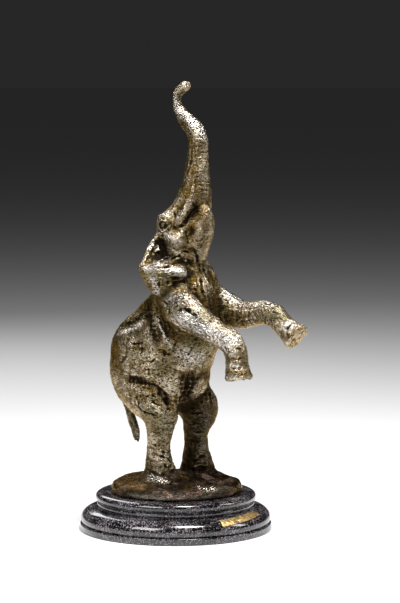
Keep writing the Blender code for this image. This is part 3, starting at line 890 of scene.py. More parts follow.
# %% Lines on the skin
# Name, side (n the near side alone, b both), depth (a ridge's is below 0), half width, points.
LINES = [
    ("mouth", "b", 2.2, 1.3, [(176, 225), (180, 225.5), (184, 225), (188, 219),
     (190, 213), (196, 207), (203, 203)]),
    ("temple", "b", 1.0, 1.3, [(173, 212), (175, 216), (174, 221)]),
    ("brow", "b", -1.3, 2.0, [(-4, -22, 268), (-3, -23, 275), (164, 214), (170, 209)]),
    ("under the eye", "b", 1.0, 1.2, [(160, 235), (165, 237), (168, 240)]),
    ("cheek rim", "b", -1.2, 1.6, [(166, 238), (172, 240.5), (178, 239.5), (181, 234)]),
    ("cheek wrinkle", "b", 0.9, 1.2, [(170, 246), (176, 250), (183, 251), (190, 254)]),
    ("jaw wrinkle", "b", 0.7, 1.1, [(186, 232), (188, 240), (187, 247)]),
    ("jaw hollow", "b", 0.8, 3.5, [(196, 240), (201, 246), (203, 254)]),
    ("ear top wrinkle", "b", 1.2, 1.4, [(154, 246), (152, 254), (148, 261)]),
    ("ear rim", "b", -1.5, 1.7, [(139, 267), (147, 269), (153, 267.5), (158, 263),
     (163, 259), (170, 255.5)]),
    ("ear fold rim", "b", -1.1, 1.6, [(150, 274), (160, 272.5), (170, 271.5), (180, 273),
     (187, 273)]),
    ("ear slit", "b", 2.4, 1.2, [(163, 268.5), (168, 266.5), (172, 265), (176, 263.5)]),
    ("ear slit above", "b", 1.6, 1.2, [(171, 259.5), (176, 257.5), (181, 255)]),
    ("ear front ridge", "b", -1.2, 1.6, [(184, 258), (187, 263), (189, 268)]),
    ("ear lobe edge", "b", 1.7, 1.1, [(159.5, 278), (160, 285), (159, 291)]),
    ("ear lobe wrinkle", "b", 0.8, 1.1, [(166, 276), (168, 282), (166, 288)]),
    ("ear lobe wrinkle low", "b", 0.8, 1.1, [(143, 276), (147, 282), (150, 289)]),
    ("ear lobe rim", "b", -1.0, 1.5, [(0, -51, 214), (6, -49, 206), (12, -47, 200)]),
    ("under the ear", "b", 2.4, 2.4, [(191, 275), (186, 280), (180, 281.5), (174, 285),
     (169, 290)]),
    ("throat three", "n", 1.0, 1.2, [(196, 276), (197, 284), (200, 291)]),
    ("neck one", "b", 1.4, 1.3, [(170, 300.5), (175, 299), (181, 297), (186, 294)]),
    ("neck two", "b", 1.1, 1.2, [(188, 288), (193, 289), (200, 291)]),
    ("neck band", "b", 2.8, 4.0, [(147, 303), (148, 313), (150, 323), (153, 333),
     (158, 342)]),
    ("neck hollow", "b", 2.2, 2.4, [(158, 300), (11, -38, 186), (15, -36, 176), (20, -35, 167)]),
    ("neck fold", "b", -2.6, 2.0, [(157, 318), (161, 327), (166, 337), (170, 345)]),
    ("shoulder fold one", "b", -2.0, 2.0, [(168, 300), (176, 297), (186, 296),
     (194, 300)]),
    ("shoulder fold two", "b", -1.9, 2.0, [(166, 308), (174, 305), (184, 304),
     (194, 308)]),
    ("shoulder shadow", "b", 2.6, 2.6, [(176, 312), (183, 309), (190, 312), (196, 316)]),
    ("arm crest", "n", -1.5, 2.8, [(180, 318), (190, 321), (202, 328), (214, 336)]),
    ("arm lower shade", "n", 1.3, 2.4, [(178, 326), (190, 332), (204, 338), (216, 343)]),
    ("ear edge", "b", -1.4, 1.6, [(17, -46, 224), (17, -46, 212), (16, -46, 201)]),
    ("ear face", "b", 1.8, 3.0, [(20, -42, 212), (26, -35, 216), (184, 277)]),
    ("ear ridge left", "b", -1.6, 2.0, [(-4, -34, 247), (147, 254), (143, 263)]),
    ("ear floor", "b", -3.2, 4.5, [(152, 243), (158, 250), (162, 256)]),
    ("ear dark left", "b", 1.0, 2.2, [(155, 243), (154, 252), (152, 262)]),
    ("throat fold one", "b", 2.0, 1.8, [(195, 250), (198, 260), (201, 272)]),
    ("throat fold two", "n", 2.0, 1.8, [(204, 262), (206, 274), (211, 284)]),
    ("throat fold three", "b", 1.8, 1.8, [(201, 278), (202, 290), (206, 300)]),
    ("hip shelf", "b", -3.0, 2.0, [(-50, -30, 157), (120, 333), (130, 330), (140, 324),
     (150, 317)]),
    ("hip hollow", "b", 2.6, 3.4, [(119, 327), (127, 323), (136, 319), (-12, -33, 182)]),
    ("thigh crest", "b", -1.4, 3.0, [(-28, -43, 112), (-18, -44, 107), (-8, -44, 104), (2, -42, 100)]),
    ("neck hollow ahead", "b", 1.5, 2.6, [(163, 300), (167, 308), (171, 318)]),
    ("flank hollow", "b", 1.8, 3.6, [(-26, -42, 117), (-16, -42, 114), (-6, -42, 110), (2, -40, 106)]),
    ("flank hollow low", "b", 2.4, 3.4, [(6, -38, 106), (11, -35, 99), (15, -30, 91), (15, -29, 84)]),
    ("belly hollow", "b", 1.2, 4.0, [(-8, -41, 124), (4, -40, 122), (14, -37, 118)]),
    ("side hollow", "b", 1.2, 4.2, [(-26, -40, 150), (-14, -41, 146), (-2, -41, 148)]),
    ("skin two", "b", 1.6, 1.3, [(158, 311), (162, 318), (165, 325), (168, 330)]),
    ("skin three", "b", 1.2, 1.2, [(160, 303), (161.5, 308), (164, 314), (168, 321)]),
    ("shoulder edge", "b", 1.3, 1.4, [(166, 300), (168, 306), (170, 311), (173, 317),
     (177, 323), (181, 327)]),
    ("arm pit", "b", 1.6, 1.6, [(36, -26, 166), (42, -28, 168), (49, -32, 169)]),
    ("arm low line", "n", 1.4, 1.3, [(199, 331), (205, 334), (210, 338), (214, 340.5)]),
    ("side pit", "b", 2.2, 2.0, [(158, 349), (163, 352.5), (168, 354.5), (172, 352)]),
    ("side pit up", "b", 1.2, 1.4, [(172, 352), (174, 347), (178, 341)]),
    ("side dash one", "b", 1.2, 1.1, [(131, 343.5), (138, 343), (145, 342)]),
    ("side dash two", "b", 1.0, 1.1, [(131, 359), (136, 360.5)]),
    ("side dash three", "b", 1.0, 1.1, [(149, 364), (154, 360), (157, 357)]),
    ("side dash four", "b", 1.0, 1.1, [(186, 356), (190, 352), (193, 348)]),
    ("side dash five", "b", 0.9, 1.1, [(140, 331), (146, 334), (151, 332)]),
    ("belly swell", "b", -1.0, 4.0, [(184, 344), (192, 342), (200, 341), (207, 344)]),
    ("rump edge", "b", 1.0, 2.4, [(126, 335), (127, 345), (125, 355), (119, 364)]),
    ("flank", "b", 1.9, 1.5, [(133, 376), (138, 380.5), (146, 382.5), (154, 385),
     (160, 389), (165, 393.5), (168, 398), (170, 404)]),
    ("knee arc", "b", 2.2, 1.2, [(136, 397), (138, 402), (138, 407), (142, 411),
     (148, 413.5), (154, 415.5), (159, 417)]),
    ("knee line one", "b", 1.8, 1.1, [(145, 396.5), (151, 395.5), (157, 397)]),
    ("knee line two", "b", 1.8, 1.1, [(147, 399.5), (152, 401.5), (157, 404.5), (162, 406)]),
    ("knee line three", "b", 1.5, 1.1, [(147, 405), (152, 408), (157, 411)]),
    ("knee rim", "b", -1.7, 1.5, [(159, 397), (163, 402), (165.5, 408), (163, 413)]),
    ("thigh back ridge", "n", -1.0, 2.0, [(121, 387), (129, 397), (136, 408),
     (142, 417)]),
    ("leg pits", "n", 1.4, 1.3, [(164, 422.5), (168, 424), (172, 423), (176, 421)]),
    ("thigh front", "n", -1.4, 1.8, [(187, 373), (183, 381), (180, 389), (178, 398),
     (177, 407)]),
    ("groin hollow", "b", 4.2, 5.6, [(193, 375), (29, -17, 111), (25, -16, 101), (19, -10, 93)]),
    ("groin line", "n", 1.2, 1.3, [(202, 374), (197, 380), (193, 386), (189, 393),
     (188, 399)]),
    ("near shin one", "n", 1.1, 1.1, [(150, 431), (155, 433), (161, 434)]),
    ("near shin two", "n", 1.1, 1.1, [(151, 444), (156, 446)]),
    ("near shin three", "n", 1.2, 1.2, [(162, 441), (167, 443), (170, 441)]),
    ("near shin four", "n", 1.2, 1.2, [(162, 451), (167, 453), (170, 452)]),
    ("near ankle", "n", 2.0, 1.4, [(156, 453.5), (161, 456.5), (166, 458), (170, 460.5),
     (172.5, 465)]),
    ("near ankle back", "n", 1.2, 1.3, [(147, 456), (150, 461), (151, 466)]),
    ("near foot seam", "n", 1.8, 1.6, [(147, 468), (152, 472), (160, 475), (168, 474),
     (174, 470)]),
    ("near foot swell", "n", -1.8, 2.4, [(14, -33, 32), (15, -26, 33), (15, -22, 29)]),
    ("far foot seam", "n", 2.4, 1.8, [(183, 464), (188, 468), (196, 471), (205, 470),
     (212, 467)]),
    ("far foot swell", "n", -2.4, 2.6, [(14, 13, 27), (20, 17, 28), (24, 24, 28), (23, 31, 27)]),
    ("near toe one", "n", 1.3, 1.1, [(163, 462), (165, 467), (165.5, 471)]),
    ("near toe two", "n", 1.1, 1.0, [(170, 463), (171, 468), (170, 471)]),
    ("far knee one", "n", 2.4, 1.6, [(12, 4, 85), (191, 408), (17, 12, 83)]),
    ("far knee two", "n", 2.0, 1.2, [(195, 400.5), (202, 402), (26, 18, 89)]),
    ("far knee edge", "n", 2.1, 1.3, [(209, 393), (211.5, 399), (212.5, 405)]),
    ("far knee ridge", "n", -1.2, 1.6, [(207, 391), (208.5, 398), (208, 405)]),
    ("far shin one", "n", 2.0, 1.2, [(189, 412.5), (196, 414), (203, 413)]),
    ("far shin two", "n", 2.0, 1.2, [(191, 422.5), (198, 424.5), (204, 423.5)]),
    ("far shin three", "n", 1.7, 1.1, [(193, 431), (199, 432.5), (204, 431.5)]),
    ("far shin four", "n", 1.7, 1.1, [(190, 440), (196, 442), (202, 441)]),
    ("far ankle", "n", 3.0, 1.5, [(191, 466), (195, 461), (201, 457.5), (207, 457)]),
    ("far toe", "n", -1.9, 1.6, [(193, 469), (198, 465.5), (204, 465), (209, 467)]),
    ("near wrist one", "n", 1.6, 1.4, [(223, 345.5), (227, 350.5), (231, 352.5)]),
    ("near wrist two", "n", 1.3, 1.2, [(235, 350), (239, 348), (243, 351)]),
    ("near wrist three", "n", 1.2, 1.2, [(231, 357.5), (237, 360), (243, 358)]),
    ("near hoof line", "n", 1.3, 1.2, [(231, 368), (238, 368), (245, 367)]),
    ("near hoof rim", "n", -1.2, 1.6, [(226, 372.5), (233, 374), (240, 374),
     (248, 373)]),
    ("far arm one", "n", 1.6, 1.3, [(219, 293), (224, 290)]),
    ("far arm two", "n", 1.5, 1.3, [(226, 300.5), (231, 298.5)]),
    ("far arm three", "n", 1.3, 1.3, [(231, 307), (236, 305), (241, 304)]),
    ("far arm ridge", "n", -1.0, 2.2, [(224, 308), (234, 310.5), (246, 311), (258, 309)]),
    ("far arm low", "n", -0.9, 1.8, [(231, 324), (241, 321), (250, 318)]),
    ("far elbow one", "n", 1.5, 1.2, [(262, 305), (265, 310), (268, 307)]),
    ("far elbow two", "n", 1.3, 1.2, [(270, 308), (274, 312), (278, 313)]),
    ("far shin bend", "n", 1.2, 1.2, [(279, 318), (284, 321), (287, 319)]),
    ("far hoof line", "n", 1.8, 1.4, [(287, 336), (286, 330), (290, 325), (296, 322)]),
    ("trunk line", "n", -0.9, 1.5, [(190, 201), (192, 192), (193.5, 182), (195, 172),
     (196, 164)]),
    ("lip bulge", "b", -1.6, 3.4, [(39, -3, 310), (40, -3, 303), (40, -2, 295)]),
    ("trunk line up", "n", -0.7, 1.6, [(197, 160), (197, 150), (197, 138)]),
    ("trunk back line", "b", 1.1, 1.6, [(191, 131), (191, 145), (190, 160), (187, 175),
     (184, 188)]),
    ("trunk ring one", "b", 0.9, 1.0, [(195, 142), (200, 141.5), (205, 143)]),
    ("trunk ring two", "b", 0.9, 1.0, [(198, 152.5), (203, 151.5), (207, 153)]),
    ("trunk ring three", "b", 0.9, 1.0, [(197, 172.5), (202, 171), (207, 173)]),
    ("trunk ring four", "b", 1.0, 1.0, [(194, 186), (199, 184.5), (205, 186)]),
    ("trunk ring five", "b", 0.9, 1.0, [(193, 130), (198, 128.5), (203, 129)]),
    ("chest fold", "n", 1.2, 2.4, [(207, 295), (211, 305), (45, 2, 178)]),
]
LINES = [(*row[:-1], on_skin(row[-1])) for row in LINES]
DRAWN = {row[0]: row[-1] for row in LINES}
print("lines drawn:", len(LINES), "with", sum(len(row[-1]) for row in LINES), "points")

# %% Rings round the eye
# Radius, depth, half width. The rings are drawn in the side view, as x and z alone.
EYE_RINGS = [(3.4, 0.9, 1.1), (5.8, -0.3, 1.3), (7.4, 0.4, 1.2)]
EYE_STRETCH = 1.15
for radius, depth, width in EYE_RINGS:
    ring = [
        (EYE[0] + EYE_STRETCH * radius * math.cos(t), EYE[2] + radius * math.sin(t))
        for t in np.linspace(0.0, 2 * math.pi, 15)
    ]
    LINES.append(("eye ring", "b", depth, width, ring))
print("with the rings:", len(LINES))

# %% Vertices near a line
def vertex_arrays(piece):
    """Places above the seat, in millimetres, and normals of a piece's vertices."""
    count = len(piece.data.vertices)
    place, normal = np.empty(3 * count), np.empty(3 * count)
    piece.data.vertices.foreach_get("co", place)
    piece.data.vertex_normals.foreach_get("vector", normal)
    return place.reshape(-1, 3) / MM - (0, 0, SEAT), normal.reshape(-1, 3)


def set_places(piece, place):
    """Move a piece's vertices to places above the seat."""
    piece.data.vertices.foreach_set("co", ((place + (0, 0, SEAT)) * MM).ravel())
    piece.data.update()


def near_line(place, line, reach):
    """Which places lie within reach of a polyline, how far from it, and how far along it."""
    low, high = line.min(0) - reach, line.max(0) + reach
    close = np.flatnonzero(np.all((place > low) & (place < high), axis=1))
    best, run = np.full(len(close), np.inf), np.zeros(len(close))
    start = 0.0
    for a, b in zip(line[:-1], line[1:]):
        span = b - a
        length = math.sqrt(span @ span) + 1e-9
        along = np.clip((place[close] - a) @ span / length**2, 0, 1)
        away = np.linalg.norm(place[close] - a - along[:, None] * span, axis=1)
        run = np.where(away < best, start + along * length, run)
        best = np.minimum(best, away)
        start += length
    inside = best < reach
    return close[inside], best[inside], run[inside], start


print("vertices to carve:", len(casting.data.vertices))

# %% Carve the lines
# A line is cut only where the skin faces its own side of the animal. The tool's pressure swings along
# the line and dies out towards its ends, its edge trembles, and a groove raises a lip on both sides.
SIDES = {"n": (1,), "b": (1, -1)}
SEEN_FROM = (0.61, -0.79, 0.1)
FACING_GAIN, FACING_START = 2.5, 0.4
HEAD_SIDE = -12  # a ring round the eye stays on the skin beyond this y
DYING_SHARE, DYING_POWER = 0.3, 0.6
PRESSURE, PRESSURE_SWING, PRESSURE_LENGTH = 0.8, 0.25, 1.7
TREMBLE, TREMBLE_PITCH = 0.22, 1.3
GROOVE_WIDTH = 0.72
LIP_HEIGHT, LIP_PLACE, LIP_WIDTH = 0.12, 1.7, 0.8


def carve(place, normal, push, side, depth, width, points):
    """Add one line to the push of each vertex: a groove or a ridge that swells and dies out."""
    line = smooth_rows(points, 4)
    flat = line.shape[1] == 2
    if not flat:
        line = line * (1, side, 1)
    where = place[:, [0, 2]] if flat else place
    close, away, along, length = near_line(where, line, 4 * width)
    facing = normal[close] @ (np.array(SEEN_FROM) * (1, side, 1))
    share = np.clip(FACING_GAIN * facing + FACING_START, 0, 1)
    if flat:
        share *= place[close, 1] * side < HEAD_SIDE
        share *= np.clip(-2 * side * normal[close, 1], 0, 1)
    else:
        to_end = np.minimum(along, length - along)
        share *= np.clip(to_end / (DYING_SHARE * length), 0, 1) ** DYING_POWER
        share *= PRESSURE + PRESSURE_SWING * np.sin(along / PRESSURE_LENGTH + points[0][0])
    rough = TREMBLE * width * np.sin(TREMBLE_PITCH * place[close] + (0, 2, 4)).sum(1)
    away = np.maximum(away + rough, 0)
    bell = np.exp(-((away / (GROOVE_WIDTH * width)) ** 2))
    lip = np.exp(-(((away - LIP_PLACE * width) / (LIP_WIDTH * width)) ** 2))
    push[close] += share * depth * (bell - (LIP_HEIGHT if depth > 0 else 0.0) * lip)


place, normal = vertex_arrays(casting)
push = np.zeros(len(place))
for name, sides, depth, width, points in LINES:
    for side in SIDES[sides]:
        carve(place, normal, push, side, depth, width, points)
print("lines carved:", len(LINES), "deepest", round(push.max(), 2), "mm")

# %% [markdown]
# ## Wrinkles round the limbs
#
# The skin gathers in rings where a limb bends, and along the whole trunk. A ring is a level of the
# distance along the limb's bone. It wanders up and down with the angle, fades on one side, and is
# spaced with a seeded jitter, so that no two look alike.

# %% Rings round the bones
WANDER, SMALL_WANDER = 2.2, 0.8
END_FADE = 6.0


def ring_bone(place, push, bone, reach, spacing, depth, width, seed):
    """Add wavering rings across a bone to the push of the vertices around it."""
    rng = np.random.default_rng(seed)
    line = smooth_rows(bone, 6)
    steps = np.diff(line, axis=0)
    spans = np.linalg.norm(steps, axis=1)
    start = np.concatenate([[0], np.cumsum(spans)])
    close = near_line(place, line, reach)[0]
    offset = place[close][:, None, :] - line[None, :-1]
    along = np.clip(np.einsum("vsk,sk->vs", offset, steps) / spans**2, 0, 1)
    gap = offset - along[:, :, None] * steps[None]
    nearest = np.argmin(np.einsum("vsk,vsk->vs", gap, gap), axis=1)
    pick = np.arange(len(close))
    along = start[nearest] + along[pick, nearest] * spans[nearest]
    ahead = (steps / spans[:, None])[nearest]
    gap = gap[pick, nearest]
    wide = np.array((0.0, 1.0, 0.0))
    angle = np.arctan2(gap @ wide, np.einsum("vk,vk->v", gap, np.cross(ahead, wide)))
    fade = np.clip(np.minimum(along, start[-1] - along) / END_FADE, 0, 1)
    level = spacing
    while level < start[-1]:
        turn = rng.uniform(0, 2 * math.pi, 3)
        wander = WANDER * np.sin(angle + turn[0]) + SMALL_WANDER * np.sin(3 * angle + turn[1])
        shown = np.clip(0.15 + 1.1 * np.cos(angle - turn[2]), 0, 1)
        bell = np.exp(-(((along - level - wander) / width) ** 2))
        push[close] += fade * shown * rng.uniform(0.5, 1.0) * depth * bell
        level += spacing * rng.uniform(0.6, 1.4)


print("rings wander by", WANDER + SMALL_WANDER, "mm at most")

# %% Rings on the limbs and the trunk's tip
# Reach, spacing, depth, half width, and the bone's points from end to end.
BONES = [
    (22, 5.4, 0.5, 0.8, [(2, -26, 78), (0, -26, 64), (-1, -26, 50), (0, -26, 34), (1, -26, 24)]),
    (23, 5.2, 0.5, 0.8, [(9.5, 26, 84), (8, 26, 68), (6, 26, 52), (6.6, 26, 34), (8, 26, 20)]),
    (20, 6.2, 0.45, 0.8, [(62, -35, 174), (82, -34.5, 165), (95, -34, 158), (101, -34, 146),
     (102, -34, 134), (104, -34, 125)]),
    (20, 6.2, 0.45, 0.8, [(48, 33.5, 179), (72, 34, 180), (90, 34, 182), (107, 34, 171),
     (122, 34, 160)]),
    (18, 6.5, 0.3, 0.8, [(24, 0, 300), (27, 0, 318), (28.4, 0, 340), (26, 0, 358), (15.5, 0, 369),
     (4, 0, 382), (2, 0, 394), (10, 0, 402)]),
    (9, 3.4, 0.5, 0.8, [(-66, 0, 100), (-65, 0, 88), (-60, 0, 76), (-55, 0, 64)]),
]
FIRST_SEED = 20
for number, (reach, spacing, depth, width, bone) in enumerate(BONES):
    ring_bone(place, push, bone, reach, spacing, depth, width, FIRST_SEED + number)
NOSTRILS = [(17.6, -2.3, 405.6), (17.6, 2.3, 405.6)]
NOSTRIL_DEPTH, NOSTRIL_RADIUS = 2.6, 1.5
for nostril in NOSTRILS:
    away = np.linalg.norm(place - nostril, axis=1)
    push += NOSTRIL_DEPTH * np.exp(-((away / NOSTRIL_RADIUS) ** 2)) * (normal[:, 0] > 0.2)
set_places(casting, place - push[:, None] * normal)
print("bones ringed:", len(BONES))

# %% [markdown]
# ## Marks of the clay
#
# Between the lines the whole skin is broken: soft lumps from the fingers, small pats pressed on each
# other, fine horizontal creases, and pits that the casting left. These follow the surface with no
# places of their own, so a Geometry Nodes tree adds them as one height along the normal. Its inputs
# are the size and height of each kind of mark. A bump map alone would leave the outline smooth.

# %% Clay marks
sheet, shape, size = geometry_tree(
    "clay_marks",
    {
        "Lump Height": float,
        "Lumps Per Metre": float,
        "Pat Height": float,
        "Pats Per Metre": float,
        "Crease Depth": float,
        "Pit Depth": float,
        "Pits Per Metre": float,
        "Seat Height": float,
        "Look": bpy.types.Material,
    },
)
WARPS_PER_METRE = 120.0
WARP = (0.007, 0.007, 0.007)
ALONG, ACROSS = 70.0, 300.0
place = sheet.add("GeometryNodeInputPosition")
parts = sheet.parts(place, "Z")
seat_share = (parts - size["Seat Height"]).ramp(0.8 * MM, 3.5 * MM)
lumps = sheet.noise(place, size["Lumps Per Metre"], 2.0)
warp = sheet.noise(place, WARPS_PER_METRE, 1.0, 1)
warp = sheet.vector("MULTIPLY_ADD", warp, WARP, place)
pats = sheet.cells(warp, size["Pats Per Metre"], "Distance")
pits = sheet.cells(warp, size["Pits Per Metre"], "Distance")
chance = sheet.parts(pits.out("Color"))
pit_share = (1.0 - pits.ramp(0.08, 0.24)) * chance.ramp(0.35, 0.5)
# Creases lie level on an upright limb and stand upright on the forelegs that reach ahead.
upright = sheet.noise(sheet.vector("MULTIPLY", warp, (ALONG, ALONG, ACROSS)), 1.0, 2.0)
lying = sheet.noise(sheet.vector("MULTIPLY", warp, (ACROSS, ALONG, ALONG)), 1.0, 2.0)
reaching = parts.out("X").ramp(50 * MM, 70 * MM) * parts.ramp(130 * MM, 150 * MM)
creases = upright * (1.0 - reaching) + lying * reaching
crease_share = 1.0 - (creases - 0.5).math("ABSOLUTE").ramp(0.0, 0.05)
height = (lumps - 0.5) * size["Lump Height"] * 2.0
height = height + (0.42 - pats) * size["Pat Height"] - crease_share * size["Crease Depth"]
height = (height - pit_share * size["Pit Depth"]) * seat_share
shift = sheet.scaled(sheet.add("GeometryNodeInputNormal"), height)
moved = sheet.add("GeometryNodeSetPosition", None, {"Geometry": shape, "Offset": shift})
end_tree(sheet, moved, size["Look"])
run_tree(
    casting,
    sheet,
    lump_height=1.7 * MM,
    lumps_per_metre=60.0,
    pat_height=0.55 * MM,
    pats_per_metre=125.0,
    crease_depth=0.3 * MM,
    pit_depth=0.8 * MM,
    pits_per_metre=240.0,
    seat_height=SEAT * MM,
)
print("marked", len(casting.data.vertices), "vertices")

# %% [markdown]
# ## Thinning and hollows
#
# The even skin has far more triangles than its flat parts need, so the decimate modifier thins it
# where it is flat. Then each vertex is compared with an average of its neighbourhood: below it lies a
# hollow, above it a ridge. The number is kept as an attribute, because a patina is dark in hollows
# and rubbed bright on ridges, on any side of the figure.

# %% Thin the skin
CASTING_TRIANGLES = 188000
INSIDE_BOX = 0.05
SQUEEZED = 40
FLAT_BELOW = 0.4
use_step(
    casting, "DECIMATE", ratio=CASTING_TRIANGLES / triangles(casting), use_collapse_triangulate=True
)
place = vertex_arrays(casting)[0]
# The clay marks may pass the CAD box at its front and top, so the last 40 mm are squeezed back in.
for axis, limit in ((0, cad_high[0] / MM), (2, cad_high[2] / MM - SEAT)):
    over = place[:, axis].max() - limit + INSIDE_BOX
    if over > 0:
        share = np.clip((place[:, axis] - (limit - SQUEEZED)) / SQUEEZED, 0, 1.2)
        place[:, axis] -= over * share**2
place[place[:, 2] < FLAT_BELOW, 2] = 0.0
set_places(casting, place)
tidy_mesh(casting)
print("thinned to", triangles(casting), "triangles")

# %% Measure the hollows
def hollows(piece, rounds):
    """How far each vertex lies under the average of its neighbourhood, in millimetres."""
    place, normal = vertex_arrays(piece)
    edges = np.empty(2 * len(piece.data.edges), int)
    piece.data.edges.foreach_get("vertices", edges)
    a, b = edges.reshape(-1, 2).T
    count = np.bincount(np.concatenate([a, b]), minlength=len(place))
    mean = place.copy()
    for _ in range(rounds):
        total = [
            np.bincount(np.concatenate([a, b]), np.concatenate([mean[b, k], mean[a, k]]), len(place))
            for k in range(3)
        ]
        mean = 0.5 * mean + 0.5 * np.array(total).T / count[:, None]
    return np.einsum("vk,vk->v", mean - place, normal)


# Rounds of averaging for the marks, the folds and the whole forms.
fine, broad, wide = (hollows(casting, rounds) for rounds in (3, 30, 140))
level = 0.52 - 0.75 * fine - 0.22 * (broad - np.median(broad)) - 0.07 * np.clip(wide, -1, 4)
tone = casting.data.attributes.new("ridge", "FLOAT", "POINT")
tone.data.foreach_set("value", np.clip(level, 0, 1))
spread = [round(float(q), 2) for q in np.percentile(level, (5, 25, 50, 75, 95))]
print("ridge spread", spread)

# %% [markdown]
# ## How open each place is
#
# Painted shade darkens the bronze where the skin sees little of the sky: behind the ear, in the
# groin, between the legs. A small Geometry Nodes tree sends rays from every vertex in evenly spread
# directions and keeps the share that gets away, each counted by how squarely it leaves the skin. The
# result belongs to the object, so it is right from all sides and costs nothing in the render.

# %% Open places
RAYS = 30
REACH = 70
LIFT = 0.6
sheet, shape, size = geometry_tree(
    "open_places", {"Reach": float, "Lift": float, "Look": bpy.types.Material}
)
facing = sheet.add("GeometryNodeInputNormal")
lifted = sheet.scaled(facing, size["Lift"])
start = sheet.vector("ADD", sheet.add("GeometryNodeInputPosition"), lifted)
free, total = 0.0, 0.0
for number in range(RAYS):
    z = 1 - (2 * number + 1) / RAYS
    turn = number * math.pi * (3 - math.sqrt(5))
    r = math.sqrt(1 - z * z)
    way = (r * math.cos(turn), r * math.sin(turn), z)
    square = sheet.vector("DOT_PRODUCT", facing, way, out="Value").math("MAXIMUM", 0.0)
    ray = {
        "Target Geometry": shape,
        "Source Position": start,
        "Ray Direction": way,
        "Ray Length": size["Reach"],
    }
    hit = sheet.add("GeometryNodeRaycast", None, ray, "Is Hit")
    free = free + square * (1.0 - hit)
    total = total + square
end_tree(sheet, sheet.keep(shape, "open", free / total), size["Look"])
run_tree(casting, sheet, reach=REACH * MM, lift=LIFT * MM)
openness = np.empty(len(casting.data.vertices))
casting.data.attributes["open"].data.foreach_get("value", openness)
print("open share: mean", round(float(openness.mean()), 2), "least", round(float(openness.min()), 2))

# %% [markdown]
# ## Where the brown and the ochre lie
#
# A patina is brushed on by hand, so some of it follows no rule, and these strokes also carry painted
# light. Dark brown lies in the folds of the neck, in the groin, round the eye and round and under the
# feet: partly brown patina, partly painted shade. Ochre lies along the back of the trunk, on the rump
# and in the ear: partly ochre patina, partly painted shade on the sides turned away from the light.
# Grey metal lies on the brow, the cheek, the arms, the trunk's bend and the hip: partly rubbed wear,
# partly painted highlight. These strokes are written down as short lines with a width, as the carved
# lines are, and each becomes a soft stain kept as a vertex attribute.

# %% Brush strokes of the patina
# Side, strength, half width, and points or the name of the carved line that the stroke follows.
# Brown strokes: partly brown patina, partly painted shade in the neck folds, the groin, the eye socket
# and round and under the feet.
BROWN = [
    ("n", 0.6, 2.4, [(93, -42, 156), (96, -43, 148), (228, 362)]),
    ("n", 0.5, 2.0, [(112, -37, 151), (113, -38, 141)]),
    ("n", 0.9, 3.0, "far foot seam"),
    ("n", 0.9, 4.5, [(184, 424), (-2, 15, 50), (183, 452), (182, 462)]),
    ("n", 0.7, 2.0, "near foot seam"),
    ("b", 0.6, 3.2, [(-66, -3, 96), (-62, -4, 82), (-56, -4, 68), (-52, -4, 56)]),
    ("b", 0.32, 11.0, [(34, -8, 352), (34, -9, 330), (34, -10, 310), (36, -8, 292)]),
    ("b", 0.34, 9.0, [(203, 216), (204, 228), (202, 240)]),
    ("n", 0.2, 10.0, [(6, -38, 70), (4, -36, 56), (6, -34, 42)]),
    ("b", 0.95, 5.5, "groin hollow"),
    ("b", 0.9, 5.5, [(-14, -28, 192), (148, 313), (150, 323), (153, 333), (158, 342)]),
    ("b", 0.9, 4.0, [(4, -34, 199), (158, 300), (160, 310), (14, -36, 174)]),
    ("b", 0.9, 3.5, [(193, 274), (186, 280), (27, -36, 210), (165, 294), (160, 299)]),
    ("b", 0.5, 2.2, "ear dark left"),
    ("b", 0.85, 5.0, [(45, 2, 202), (46, 3, 190), (47, 5, 176)]),
    ("b", 0.6, 2.6, [(168, 243), (176, 247), (184, 248)]),
    ("b", 0.85, 2.4, [(130, 376), (140, 379), (152, 385), (163, 394), (15, -30, 94)]),
    ("b", 0.95, 1.8, [(180, 225.5), (188, 219), (196, 207), (203, 203)]),
    ("b", 0.8, 2.2, "throat fold one"),
    ("n", 0.8, 2.2, "throat fold two"),
    ("b", 0.8, 2.2, "throat fold three"),
    ("b", 0.75, 2.8, "hip hollow"),
    ("b", 0.6, 2.4, "shoulder shadow"),
    ("b", 0.25, 3.5, "ear face"),
    ("b", 0.9, 5.5, "groin line"),
    ("b", 0.9, 5.0, [(184, 378), (186, 390), (188, 402), (12, 4, 83)]),
    ("n", 0.5, 6.0, [(-12, -36, 27), (-2, -42, 28), (9, -38, 28), (16, -28, 26)]),
    ("b", 0.9, 2.6, [(184, 92), (180, 95), (7, -3, 391)]),
    ("b", 0.9, 1.3, [(15, -46, 228), (166, 266), (19, -32, 231), (21, -24, 232)]),
    ("b", 0.7, 1.8, [(24, -46, 193), (36, -46, 196), (47, -42, 197)]),
    ("b", 0.65, 4.0, [(16, -6, 370), (23, -9, 362), (22, -9, 350),
     (22, -10, 332), (18, -13, 312), (14, -17, 298)]),
    ("n", 0.9, 9.0, [(2, -8, 14), (6, 2, 15), (10, 10, 17)]),
    ("n", 0.8, 7.0, [(-42, -46, 9), (-54, -30, 9), (-60, -10, 9)]),
    ("n", 0.9, 8.0, [(26, 14, 14), (34, 24, 12), (40, 34, 10)]),
    ("n", 0.8, 6.0, [(172, 478), (182, 482), (195, 484)]),
    ("n", 0.8, 6.0, [(-9, -14, 60), (-8, -13, 44), (-6, -12, 28)]),
    ("b", 0.5, 4.0, [(176, 336), (186, 341), (200, 342)]),
    ("b", 0.8, 2.4, [(1, -26, 270), (4.6, -26, 266), (9, -26, 267)]),
]
